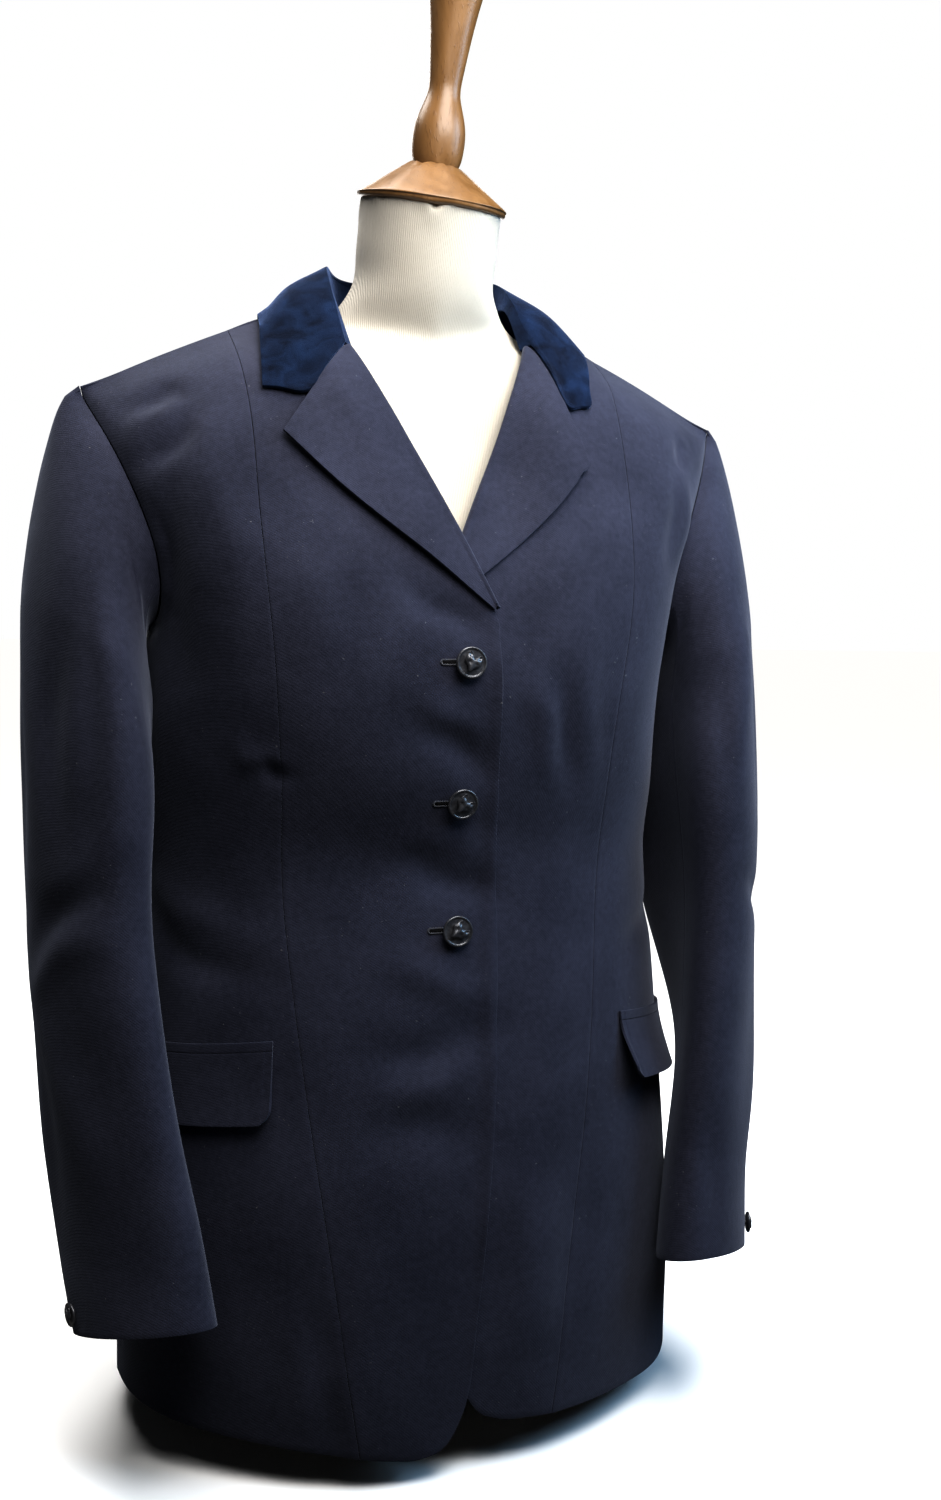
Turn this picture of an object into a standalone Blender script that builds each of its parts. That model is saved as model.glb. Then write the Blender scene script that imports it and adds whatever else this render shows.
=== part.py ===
"""Three-button hunting jacket in navy wool with a velvet collar, on a limbless dress form.

Metres, +Z up. The front of the jacket faces -Y and the wearer's left is +X. The origin is on the
surface that the form stands on, under the middle of the form.
The cloth hangs on one master surface, a stack of ovals that closes along the shoulder seams. Every
panel is a region of that surface, found by its level (row of the table) and its turn (angle from the
centre front), and whatever lies on a panel is the same surface moved out.
"""
import math
from collections import namedtuple

import bmesh
import bpy
import numpy as np
from mathutils import Matrix, Vector

# Driving dimensions
SIDE_NAMES = {-1: "right", 1: "left"}
CLOTH = 0.0020            # wall of the wool with its canvas
VELVET = 0.0022           # wall of the collar
SEAM = 0.0003             # space between two pieces that are sewn together
LAYER = 0.0007            # air between two layers that lie on each other
TOP_GAP = 0.006           # levels left free at the shoulder seam
MITRE = 0.004             # width beside the shoulder seam in which the wall turns square to the seam
HEM_CORNER = 0.040        # radius of the rounded front corners
NECK_HALF = 0.081         # half the width of the neck at the shoulder seam
SHOULDER_SOFTNESS = 0.030 # rounding where the shoulder slope meets the neck
NAPE_RISE = 0.018         # how much higher the back stands at the nape
NAPE_WIDTH = 0.055
BREAK_HEIGHT = 0.565      # where the lapel starts to turn back
BREAK_X = 0.020           # from the centre front to the break
UNDER_LAP = 0.030         # the under front is set back this far past the centre front
UNDER_EASE = 0.045        # width in which it comes level again
BACK_NECK_EASE = 0.050    # width in which the back's neckline rises to the shoulder seam
BACK_NECK_DROP = 0.95     # levels that the back's neckline lies below the shoulder seam
BUTTON_HEIGHTS = (0.534, 0.444, 0.359)
FRONT_BUTTON = 0.0205     # diameters
CUFF_BUTTON = 0.0150
POCKET_HEIGHT = 0.284     # top of the flap at its front end
POCKET_SLOPE = 0.13       # how fast the pocket falls towards the side
FLAP_WIDTH = 0.132
FLAP_CORNER = 0.009
FLAP_SETTLE = 0.65        # share of a flap's lift that is gone at its far end
WELT_DEPTH = 0.006

# Flaps: distance from the centre front to the front end, drop, how far the lower edge stands off at
# the front end, and the exponent of that curve
Flap = namedtuple("Flap", "front drop lift curl")
FLAPS = {-1: Flap(0.117, 0.046, 0.003, 2.0), 1: Flap(0.128, 0.039, 0.0125, 1.3)}

# Rows of the jacket's body, from the hem to the shoulder seam. height is at the neck's width,
# slope is how fast the row falls towards the arm, front and back are depths from the side seam,
# square is the exponent of the oval (2 is an ellipse), seam is where the front seam crosses and
# edge is how far the front edge reaches past the centre.
Section = namedtuple("Section", "name height slope half_width front back middle square seam edge")
BODY = (
    Section("hem",      0.000, 0.00, 0.207, 0.150, 0.148, 0.000, 2.05, 0.066, 0.004),
    Section("hip",      0.130, 0.00, 0.2045, 0.147, 0.143, 0.000, 2.05, 0.083, 0.0155),
    Section("pocket",   0.260, 0.00, 0.195, 0.135, 0.124, 0.000, 2.05, 0.0985, 0.0245),
    Section("waist",    0.380, 0.00, 0.185, 0.119, 0.100, 0.000, 2.05, 0.110, 0.029),
    Section("ribs",     0.460, 0.00, 0.182, 0.129, 0.106, 0.000, 2.20, 0.113, 0.024),
    Section("bust",     0.525, 0.00, 0.182, 0.137, 0.115, 0.000, 2.40, 0.118, 0.021),
    Section("chest",    0.585, 0.02, 0.187, 0.126, 0.121, -0.002, 2.80, 0.124, 0.020),
    Section("yoke",     0.642, 0.08, 0.203, 0.103, 0.116, -0.004, 2.90, 0.127, 0.020),
    Section("collar",   0.698, 0.21, 0.218, 0.076, 0.096, -0.007, 2.80, 0.128, 0.020),
    Section("top",      0.744, 0.36, 0.2255, 0.045, 0.057, -0.010, 2.50, 0.131, 0.020),
    Section("shoulder", 0.777, 0.466, 0.229, 0.000, 0.000, -0.012, 2.30, 0.133, 0.020),
)
TOP_LEVEL = len(BODY) - 1
ARMPIT_LEVEL = 5.45
SLOPE_LEVEL = 6.5         # above this the rows are the slopes of the shoulders
HEM_FREE_LEVEL = 2.0      # above this the rows are level, below it they follow the hem
ARMHOLE_FRONT = math.radians(19)
ARMHOLE_BACK = math.radians(19)
ARMHOLE_SCOOP = 0.4       # how quickly the armhole cuts in above the armpit: 0 is at once
ARMHOLE_FULL = 2.3        # makes the deepest place of the cut one whole share
SHOULDER_TIP = math.radians(1)     # turn from the shoulder seam's end to the panels' corners
LOW_ROWS = 15
ARMHOLE_ROWS = 10

# Height of the hem on each side, every 30 degrees from the centre front to the centre back
HemPoint = namedtuple("HemPoint", "turn right left")
HEM_STEP = 30
HEM = (
    HemPoint(0, 0.014, 0.036),
    HemPoint(30, 0.027, 0.027),
    HemPoint(60, 0.032, 0.020),
    HemPoint(90, 0.029, 0.023),
    HemPoint(120, 0.027, 0.025),
    HemPoint(150, 0.026, 0.026),
    HemPoint(180, 0.026, 0.026),
)

# Soft folds in the body cloth: where each is, how long and wide it is, which way it runs
# (degrees from level, rising away from the front), and how far it stands out
Fold = namedtuple("Fold", "level turn length width slant depth")
BODY_FOLDS = (
    Fold(8.2, -58, 0.050, 0.020, 60, -0.0035),
    Fold(7.5, -50, 0.045, 0.020, 55, 0.0020),
    Fold(8.2, 58, 0.050, 0.020, 60, -0.0030),
    Fold(7.5, 50, 0.045, 0.020, 55, 0.0020),
    Fold(4.3, -22, 0.070, 0.030, 20, 0.0025),
    Fold(3.3, -20, 0.070, 0.030, 12, -0.0020),
    Fold(4.3, 24, 0.070, 0.026, 70, -0.0020),
    Fold(3.0, -70, 0.060, 0.034, 20, -0.0030),
    Fold(3.2, 75, 0.060, 0.034, 20, -0.0030),
    Fold(3.2, 150, 0.060, 0.034, 10, -0.0030),
    Fold(3.2, -150, 0.060, 0.034, 10, -0.0030),
    Fold(0.9, -62, 0.110, 0.030, 88, 0.0040),
    Fold(0.9, 58, 0.110, 0.030, 88, 0.0035),
    Fold(0.8, 125, 0.110, 0.030, 88, 0.0040),
    Fold(0.8, -128, 0.110, 0.030, 88, 0.0040),
)

# Sleeve sections for the wearer's left: centre, half the long and the short way across, how far the
# front edge and the inner side's back half turn in, and how much the outer side and the front edge
# are lifted
SleeveSection = namedtuple("SleeveSection", "name height out fore long short turn tail lift rise")
SLEEVE = (
    SleeveSection("biceps",  0.528, 0.2265, 0.006, 0.0820, 0.0385, 12, 8, 0.030, 0.0),
    SleeveSection("upper",   0.455, 0.2255, 0.024, 0.0770, 0.0397, 18, 34, 0.010, 0.0),
    SleeveSection("elbow",   0.365, 0.2275, 0.042, 0.0672, 0.0341, 23, 28, 0.001, 0.003),
    SleeveSection("forearm", 0.260, 0.2212, 0.067, 0.0620, 0.0280, 34, -10, 0.003, 0.007),
    SleeveSection("wrist",   0.174, 0.2085, 0.085, 0.0575, 0.0279, 40, -40, 0.005, 0.010),
    SleeveSection("cuff",    0.1095, 0.1975, 0.103, 0.0517, 0.0291, 46, -46, 0.0065, 0.0120),
)
CAP_ROWS = 6
ARM_ROWS = 12
CAP_SPREAD = {-1: 0.060, 1: 0.040}  # how strongly the sleeve head stands out from the armhole
CAP_RISE = {-1: 0.016, 1: 0.010}    # rope of the sleeve head over the shoulder
CAP_SIDES = 0.55          # share of the spread that is left at the front and back of the armhole
CAP_FORWARD = 0.020
CAP_FALL = 0.030          # how the head leaves the armhole under the arm
CAP_LAND = 1.7            # how firmly the head runs into the arm
FRONT_SEAM_STEP = 3       # steps of the ring from the front edge to the front sleeve seam
CUFF_BUTTON_TURN = 320    # round the cuff from its outer side, towards the front
CUFF_BUTTON_HEIGHT = 0.013 # above the cuff's edge

# Lapel, as level and distance from the centre front
LapelPoints = namedtuple("LapelPoints", "gorge_level tip_level tip_x corner_level corner_x")
LAPELS = {
    -1: LapelPoints(8.90, 7.68, 0.1095, 8.36, 0.1190),
    1: LapelPoints(9.20, 7.46, 0.0945, 8.32, 0.1040),
}
NOTCH_SHARE = 0.60        # share of the gorge line that is sewn to the collar
LAPEL_ROWS = 12
LAPEL_BELLY = 0.010       # how far the lapel's outer edge bows out
LAPEL_LIFT = 0.0030       # how far the outer edge stands off the front
LAPEL_ROLL = 0.0035       # soft roll beside the fold
UNDER_LAPEL_START = 0.20  # the under lapel starts this far up, under the upper front

# Collar stations, from the side of the neck to the centre back: fold, foot of the stand, and the
# outer edge as a level and a turn
CollarStation = namedtuple("CollarStation", "name fold_x fold_y fold_z foot_x foot_y foot_z edge_level edge_turn")
COLLAR = (
    CollarStation("side",        0.0655, -0.020, 0.7860, 0.0620, -0.018, 0.7780, 9.55, 26.0),
    CollarStation("shoulder",    0.0610, 0.010, 0.8040, 0.0590, 0.008, 0.7810, 9.70, 156),
    CollarStation("behind",      0.0430, 0.043, 0.8040, 0.0430, 0.038, 0.7760, 9.15, 163),
    CollarStation("centre_back", 0.0000, 0.057, 0.8020, 0.0000, 0.050, 0.7700, 8.62, 180),
)
FALL_SHARES = (0.0, 0.08, 0.30, 0.55, 0.80, 1.0)
NOTCH_COLUMN = 3          # the column of the fall that starts at the notch
COLLAR_STEPS = 5
COLLAR_LIFT = 0.0034
COLLAR_CLEAR = 0.0056     # least height of the collar's outer face over the fronts and the back
COLLAR_REST = 0.0012      # air under the collar's front ends
COLLAR_GAP = (0.012, 0.0005)        # space between the collar's end and the lapel, as level and distance
STAND_SHARES = (0.0, 0.55, 0.9)
STAND_DROP = (-0.006, 0.004, -0.004)    # from the collar's fold to its foot at the front ends

# Dress form, as rings from the base to the top of the neck; lean and tilt are the degrees that a ring
# dips to the front and to the wearer's left
FormRing = namedtuple("FormRing", "name height half_width front back middle square lean tilt")
FORM = (
    FormRing("base",      0.000, 0.118, 0.064, 0.072, 0.000, 2.0, 0, 0),
    FormRing("rim",       0.045, 0.152, 0.094, 0.102, 0.000, 2.0, 0, 0),
    FormRing("hips",      0.130, 0.168, 0.113, 0.119, 0.000, 2.0, 0, 0),
    FormRing("high_hip",  0.260, 0.155, 0.105, 0.100, 0.000, 2.0, 0, 0),
    FormRing("waist",     0.380, 0.134, 0.093, 0.076, 0.000, 2.0, 0, 0),
    FormRing("ribs",      0.460, 0.142, 0.102, 0.083, 0.000, 2.1, 0, 0),
    FormRing("bust",      0.525, 0.151, 0.115, 0.092, 0.000, 2.2, 0, 0),
    FormRing("chest",     0.585, 0.162, 0.107, 0.098, -0.002, 2.3, 0, 0),
    FormRing("yoke",      0.635, 0.172, 0.086, 0.092, -0.004, 2.3, 0, 0),
    FormRing("arm",       0.674, 0.178, 0.068, 0.078, -0.006, 2.1, 0, 0),
    FormRing("shoulder",  0.706, 0.177, 0.056, 0.062, -0.008, 1.9, 0, 0),
    FormRing("slope",     0.7322, 0.161, 0.044, 0.048, -0.012, 1.5, 0, 0),
    FormRing("trapeze",   0.7462, 0.131, 0.040, 0.043, -0.012, 1.4, 0, 0),
    FormRing("nape",      0.757, 0.077, 0.040, 0.042, -0.014, 1.35, 3, 0),
    FormRing("neck_root", 0.782, 0.051, 0.045, 0.041, -0.020, 1.9, 6, 1),
    FormRing("neck",      0.810, 0.048, 0.046, 0.043, -0.027, 2.0, 9, 2),
    FormRing("neck_top",  0.8375, 0.0475, 0.046, 0.043, -0.035, 2.0, 12, 3),
)
FORM_ROWS = 28
FORM_SIDES = 32

# Turned wood on the neck: radius and height above the neck's top
CAP_PROFILE = ((0.0475, 0.000), (0.0508, 0.0012), (0.0512, 0.0036), (0.0500, 0.0056), (0.0185, 0.0262))
HANDLE_PROFILE = (
    (0.0150, 0.0000), (0.0168, 0.0050), (0.0177, 0.0150), (0.0170, 0.0250), (0.0142, 0.0350),
    (0.0115, 0.0430), (0.0107, 0.0500), (0.0116, 0.0610), (0.0146, 0.0860), (0.0176, 0.1040),
    (0.0180, 0.1070), (0.0168, 0.1095), (0.0130, 0.1105),
)
TURNED_SIDES = 24
# Button: radius as a share of its full radius, height above the cloth as a share of its diameter
BUTTON_PROFILE = (
    (0.30, 0.000), (0.30, 0.105), (0.78, 0.110), (1.00, 0.180), (1.00, 0.225), (0.92, 0.275),
    (0.80, 0.262), (0.70, 0.285), (0.38, 0.325),
)
BUTTON_SIDES = 16

NAVY = (0.022, 0.026, 0.052)
VELVET_NAVY = (0.008, 0.018, 0.060)
CREAM = (0.80, 0.75, 0.66)
BEECH = (0.62, 0.36, 0.16)
HORN = (0.010, 0.012, 0.022)


# Curves through tables
def through(values, at):
    """The value at a fractional row, on a smooth curve through a column of a table."""
    values = np.asarray(values, float)
    padded = np.concatenate(([2 * values[0] - values[1]], values, [2 * values[-1] - values[-2]]))
    row = np.clip(np.floor(at).astype(int), 0, len(values) - 2)
    t = at - row
    before, start, end, after = (padded[row + step] for step in range(4))
    return 0.5 * (2 * start + (end - before) * t
                  + (2 * before - 5 * start + 4 * end - after) * t ** 2
                  + (3 * start - before - 3 * end + after) * t ** 3)


def columns_at(table, level):
    """Every numeric column of a table at fractional rows, by name."""
    level = np.asarray(level, float)
    names = [name for name in table[0]._fields if name != "name"]
    return {name: through([getattr(row, name) for row in table], level) for name in names}


def ease(t):
    t = np.clip(t, 0.0, 1.0)
    return t * t * (3 - 2 * t)


def oval(half_width, front, back, square, turn):
    """A point of an oval section: turn 0 is the front, positive turns go to the wearer's left."""
    s, c = np.sin(turn), np.cos(turn)
    power = 2 / square
    x = half_width * np.sign(s) * np.abs(s) ** power
    y = -np.where(c > 0, front, back) * np.sign(c) * np.abs(c) ** power
    return x, y


# The jacket's master surface
def level_of_height(height):
    """The level of a row at the neck's width that has this height."""
    fine = np.linspace(0, TOP_LEVEL, 400)
    return float(np.interp(height, columns_at(BODY, fine)["height"], fine))


def plain_body(level, turn):
    row = columns_at(BODY, level)
    x, y = oval(row["half_width"], row["front"], row["back"], row["square"], turn)
    past_neck = np.abs(x) - NECK_HALF
    fall = 0.5 * (past_neck + np.sqrt(past_neck ** 2 + SHOULDER_SOFTNESS ** 2))
    behind = np.cos(turn) < 0
    nape = NAPE_RISE * behind * ease((level - 7) / 2) * np.exp(-(x / NAPE_WIDTH) ** 2)
    return np.stack([x, y + row["middle"], row["height"] - row["slope"] * fall + nape], axis=-1)


def body_frame(level, turn):
    """Unit vectors along a row, up the body and out of the cloth."""
    step = 0.004
    forward = np.where(np.abs(turn) < math.pi / 2, -1.0, 1.0) * np.where(turn < 0, -1.0, 1.0)
    low = np.minimum(level, TOP_LEVEL - 2 * step)
    along = (plain_body(low, turn + forward * step) - plain_body(low, turn)) * forward[..., None]
    up = plain_body(low + step, turn + forward * step) - plain_body(low - step, turn + forward * step)
    along /= np.linalg.norm(along, axis=-1, keepdims=True)
    out = np.cross(along, up)
    out /= np.linalg.norm(out, axis=-1, keepdims=True)
    up = np.cross(out, along)
    from_ridge = np.abs(plain_body(level, turn)[..., 1] - columns_at(BODY, level)["middle"])
    square = out * (1, 0, 1)
    square /= np.linalg.norm(square, axis=-1, keepdims=True)
    out = square + (out - square) * np.clip(from_ridge / MITRE, 0, 1)[..., None]
    return along, up, out


def fold_depth(level, turn, points):
    """How far the soft folds move each point of the body out."""
    depth = np.zeros(np.shape(level))
    for fold in BODY_FOLDS:
        here = np.array(fold.level), np.array(math.radians(fold.turn))
        along, up, _ = body_frame(*here)
        away = points - plain_body(*here)
        side = 1.0 if fold.turn > 0 else -1.0
        slant = math.radians(fold.slant)
        run = along * side * math.cos(slant) + up * math.sin(slant)
        across = -along * side * math.sin(slant) + up * math.cos(slant)
        depth += fold.depth * np.exp(-((away @ run) / fold.length) ** 2 - ((away @ across) / fold.width) ** 2)
    return depth


def on_body(level, turn, out):
    """Points of the cloth's master surface with its folds, moved out by a distance."""
    level, turn = np.broadcast_arrays(np.asarray(level, float), np.asarray(turn, float))
    points = plain_body(level, turn)
    normal = body_frame(level, turn)[2]
    return points + normal * (fold_depth(level, turn, points) + out)[..., None]


def turn_of_x(level, x):
    """The turn on the front of a row at a distance from the centre front."""
    row = columns_at(BODY, level)
    return np.sign(x) * np.arcsin(np.clip(np.abs(x) / row["half_width"], 0, 1) ** (row["square"] / 2))


def body_height(x, y):
    """Height of the master surface at a place in plan, for the slopes of the shoulders."""
    levels = np.linspace(SLOPE_LEVEL, TOP_LEVEL, 160)
    turns = turn_of_x(levels, np.full_like(levels, abs(x)))
    front, back = plain_body(levels, turns), plain_body(levels[::-1], math.pi - turns[::-1])
    slope = np.concatenate((front, back))
    return float(np.interp(y, slope[:, 1], slope[:, 2]))


def armhole_turn(level):
    """How far the armhole cuts in from the side at a level, as a share of its full depth."""
    share = np.clip((level - ARMPIT_LEVEL) / (TOP_LEVEL - ARMPIT_LEVEL), 0, 1)
    return ARMHOLE_FULL * share ** ARMHOLE_SCOOP * (1 - share)


# Where the edges and seams of the panels run
def row_levels():
    """Levels of the panel rows: even up to the armpit, then those of the armhole's ring."""
    low = np.linspace(0, ARMPIT_LEVEL, LOW_ROWS + 1)[:-1]
    ring = np.linspace(0, math.pi, ARMHOLE_ROWS + 1)
    high = ARMPIT_LEVEL + (TOP_LEVEL - ARMPIT_LEVEL) * (1 - np.cos(ring)) / 2
    return np.concatenate((low, high))


def edge_x(level):
    """Distance past the centre front of the front edge and, above the break, of the roll line."""
    row = columns_at(BODY, level)
    above = np.maximum(row["height"] - BREAK_HEIGHT, 0) / (BODY[-1].height - BREAK_HEIGHT)
    return np.where(above > 0, BREAK_X - (BREAK_X + NECK_HALF) * above, row["edge"])


def hem_level(side, turn):
    """Level at which the cloth of one side ends, by turn from the centre front to that side."""
    heights = [point.right if side < 0 else point.left for point in HEM]
    height = through(heights, np.clip(np.degrees(turn) / HEM_STEP, 0, len(HEM) - 1))
    return (height - BODY[0].height) / (BODY[1].height - BODY[0].height)


def hang(side, levels, turns, corner_rise=0.0):
    """Rows of a panel bent to its hem: only the rows under the pocket level move."""
    start = hem_level(side, turns) + corner_rise
    share = np.clip(levels / HEM_FREE_LEVEL, 0, 1)
    return np.where(levels < HEM_FREE_LEVEL, start + (HEM_FREE_LEVEL - start) * share, levels)


def seam_turn(levels, turns):
    """Half the seam's space as a turn, at the given places."""
    step = 0.004
    inner = np.where(np.abs(turns) > math.pi / 2, turns + np.sign(turns) * step, turns - np.sign(turns) * step)
    reach = np.linalg.norm(plain_body(levels, inner) - plain_body(levels, turns), axis=-1)
    return SEAM / 2 * step / np.maximum(reach, 1e-5)


def across(start, end, columns):
    """Turns of a panel's columns, from one edge of each row to the other."""
    return start[:, None] + (end - start)[:, None] * np.linspace(0, 1, columns + 1)[None, :]


# Solids
def make_material(name, colour, roughness):
    material = bpy.data.materials.new(name)
    material.use_nodes = True
    shader = material.node_tree.nodes["Principled BSDF"]
    shader.inputs["Base Color"].default_value = (*colour, 1.0)
    shader.inputs["Roughness"].default_value = roughness
    return material


def make_object(name, points, faces, material):
    mesh = bpy.data.meshes.new(name)
    mesh.from_pydata([tuple(p) for p in points], [], faces)
    work = bmesh.new()
    work.from_mesh(mesh)
    bmesh.ops.recalc_face_normals(work, faces=work.faces)
    work.to_mesh(mesh)
    work.free()
    mesh.shade_smooth()
    mesh.set_sharp_from_angle(angle=math.radians(40))
    mesh.materials.append(material)
    made = bpy.data.objects.new(name, mesh)
    bpy.context.scene.collection.objects.link(made)
    return made


def cloth_solid(name, outer, inner, material):
    """A wall between two grids of points of the same shape."""
    rows, columns = outer.shape[:2]
    points = np.concatenate((outer.reshape(-1, 3), inner.reshape(-1, 3)))
    back = rows * columns

    def spot(i, j):
        return i * columns + j

    faces = []
    for i in range(rows - 1):
        for j in range(columns - 1):
            ring = (spot(i, j), spot(i, j + 1), spot(i + 1, j + 1), spot(i + 1, j))
            faces.append(ring)
            faces.append(tuple(back + k for k in reversed(ring)))
    rim = [spot(0, j) for j in range(columns)]
    rim += [spot(i, columns - 1) for i in range(1, rows)]
    rim += [spot(rows - 1, j) for j in range(columns - 2, -1, -1)]
    rim += [spot(i, 0) for i in range(rows - 2, 0, -1)]
    for a, b in zip(rim, rim[1:] + rim[:1]):
        faces.append((a, back + a, back + b, b))
    return make_object(name, points, faces, material)


def ring_solid(name, rings, material):
    """A solid through rings of the same number of points, closed by a flat face at each end."""
    count = len(rings[0])
    faces = [tuple(range(count)), tuple(range((len(rings) - 1) * count, len(rings) * count))]
    for i in range(len(rings) - 1):
        for j in range(count):
            k = (j + 1) % count
            faces.append((i * count + j, i * count + k, (i + 1) * count + k, (i + 1) * count + j))
    return make_object(name, np.concatenate(rings), faces, material)


def turned_solid(name, profile, place, material, sides=TURNED_SIDES):
    """A solid turned on its own Z axis through (radius, height) points, set in place by a matrix."""
    angles = np.linspace(0, 2 * math.pi, sides, endpoint=False)
    rings = []
    for radius, height in profile:
        circle = np.stack([radius * np.cos(angles), radius * np.sin(angles), np.full(sides, height)], 1)
        rings.append(np.array([place @ Vector(p) for p in circle]))
    return ring_solid(name, rings, material)


# Body panels
def front_out(side, levels, x):
    """How far the under front is set back, to leave room for the upper front and its own lapel."""
    if side < 0:
        return np.zeros(np.shape(x))
    near = 1 - ease((x - UNDER_LAP) / UNDER_EASE)
    lapel_zone = ease((levels - (level_of_height(BREAK_HEIGHT) - 0.9)) / 0.7)
    return -near * (CLOTH + LAYER) * (1 + lapel_zone)


def front_panel(side, material):
    """Front from its edge and roll line to the seam that runs from the shoulder to the hem."""
    columns = 6
    levels = row_levels()
    levels[-1] = TOP_LEVEL - TOP_GAP
    edge = turn_of_x(levels, -edge_x(levels))
    seam = turn_of_x(levels, columns_at(BODY, levels)["seam"])
    turns = across(edge, seam - seam_turn(levels, seam), columns)
    bottom = plain_body(np.zeros_like(turns), turns)[..., 0]
    from_edge = bottom - bottom[:, :1]
    inside = np.clip(1 - from_edge / HEM_CORNER, 0, 1)
    rise = HEM_CORNER * (1 - np.sqrt(1 - inside ** 2)) / (BODY[1].height - BODY[0].height)
    levels = hang(side, levels[:, None] + 0 * turns, turns, rise)
    x = plain_body(levels, turns)[..., 0]
    out = front_out(side, levels, x)
    outer = on_body(levels, side * turns, out)
    inner = on_body(levels, side * turns, out - CLOTH)
    return cloth_solid(f"front_{SIDE_NAMES[side]}", outer, inner, material)


def side_panel(side, material):
    """Panel from the front seam to the side seam, cut by the armhole above."""
    columns = 6
    levels = row_levels()
    levels[-1] = TOP_LEVEL - TOP_GAP
    seam = turn_of_x(levels, columns_at(BODY, levels)["seam"])
    end = math.pi / 2 - ARMHOLE_FRONT * armhole_turn(levels)
    end[-1] = math.pi / 2 - SHOULDER_TIP
    turns = across(seam + seam_turn(levels, seam), end - seam_turn(levels, end), columns)
    levels = hang(side, levels[:, None] + 0 * turns, turns)
    outer = on_body(levels, side * turns, 0 * turns)
    inner = on_body(levels, side * turns, 0 * turns - CLOTH)
    return cloth_solid(f"side_front_{SIDE_NAMES[side]}", outer, inner, material)


def back_panel(side, material):
    """Half of the back, from the side seam and the armhole to the seam at the centre back."""
    columns = 8
    levels = row_levels()
    levels[-1] = TOP_LEVEL - TOP_GAP
    start = math.pi / 2 + ARMHOLE_BACK * armhole_turn(levels)
    start[-1] = math.pi / 2 + SHOULDER_TIP
    end = np.full_like(start, math.pi)
    turns = across(start + seam_turn(levels, start), end - seam_turn(levels, end), columns)
    levels = hang(side, levels[:, None] + 0 * turns, turns)
    x = plain_body(np.full_like(turns, TOP_LEVEL - 1.0), turns)[..., 0]
    neck = ease((NECK_HALF + BACK_NECK_EASE / 4 - x) / BACK_NECK_EASE)
    share = np.clip((levels - SLOPE_LEVEL) / (TOP_LEVEL - SLOPE_LEVEL), 0, 1)
    levels = levels - neck * share * BACK_NECK_DROP
    outer = on_body(levels, side * turns, 0 * turns)
    inner = on_body(levels, side * turns, 0 * turns - CLOTH)
    return cloth_solid(f"back_{SIDE_NAMES[side]}", outer, inner, material)


# Sleeves
def armhole_ring(side):
    """Points of the armhole from the shoulder tip down the front, under the arm and up the back."""
    levels = row_levels()[LOW_ROWS:]
    front_turn = math.pi / 2 - ARMHOLE_FRONT * armhole_turn(levels)
    back_turn = math.pi / 2 + ARMHOLE_BACK * armhole_turn(levels)
    front = on_body(levels[::-1], side * front_turn[::-1], 0.0)
    back = on_body(levels[1:-1], side * back_turn[1:-1], 0.0)
    return np.concatenate((front, back))


def sleeve_ring(side, row, angles):
    """One oval section of a sleeve, its long way turned in at the front and, inside, at the back."""
    turn = math.radians(row["turn"])
    outward = np.array([math.cos(turn), -math.sin(turn), 0.0])
    fore = (1 + np.sin(angles)) / 2
    inner = (1 - np.cos(angles)) / 2
    back = inner * math.radians(row["tail"]) - (1 - inner) * turn
    bend = fore * turn - (1 - fore) * back
    forward = np.stack([-np.sin(bend), -np.cos(bend), 0 * bend], axis=1)
    centre = np.array([row["out"], -row["fore"], row["height"]])
    points = (centre + np.cos(angles)[:, None] * row["short"] * outward
              + np.sin(angles)[:, None] * row["long"] * forward)
    points[:, 2] += row["lift"] * np.cos(angles) + row["rise"] * np.sin(angles)
    points[:, 0] *= side
    return points


def sleeve_rings(side):
    """Rings of a whole sleeve: its head, lofted from the armhole, then the arm down to the cuff."""
    steps = 2 * ARMHOLE_ROWS
    angles = np.linspace(0, 2 * math.pi, steps, endpoint=False)
    arm = []
    for at in np.linspace(0, len(SLEEVE) - 1, ARM_ROWS + 1):
        row = {name: float(value) for name, value in columns_at(SLEEVE, at).items()}
        arm.append(sleeve_ring(side, row, angles))
    start = armhole_ring(side) + np.array([side * 2 * SEAM, 0, 0])
    top = np.clip(np.cos(angles), 0, 1)
    under = np.clip(-np.cos(angles), 0, 1)
    leave = np.stack([side * CAP_SPREAD[side] * (CAP_SIDES + (1 - CAP_SIDES) * np.abs(np.cos(angles))),
                      -CAP_FORWARD * np.sin(angles),
                      CAP_RISE[side] * top - CAP_FALL * under], axis=1)
    arrive = (arm[1] - arm[0]) * CAP_LAND
    head = []
    for t in np.linspace(0, 1, CAP_ROWS + 1)[:-1]:
        head.append((2 * t ** 3 - 3 * t ** 2 + 1) * start + (t ** 3 - 2 * t ** 2 + t) * leave
                    + (3 * t ** 2 - 2 * t ** 3) * arm[0] + (t ** 3 - t ** 2) * arrive)
    return np.array(head + arm)


def sleeve_inside(side, rings):
    """The sleeve's inner wall: each point moved in, square to the cloth."""
    around = np.roll(rings, -1, axis=1) - np.roll(rings, 1, axis=1)
    down = np.gradient(rings, axis=0)
    inward = np.cross(around, down) * -side
    inward /= np.linalg.norm(inward, axis=-1, keepdims=True)
    centre = rings[0].mean(axis=0)
    level = centre - rings[0]
    level[:, 0] = 0
    level /= np.linalg.norm(level, axis=-1, keepdims=True)
    inward[0] = level
    inward[1] = inward[1] + level
    inward[1] /= np.linalg.norm(inward[1], axis=-1, keepdims=True)
    return rings + inward * CLOTH


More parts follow.
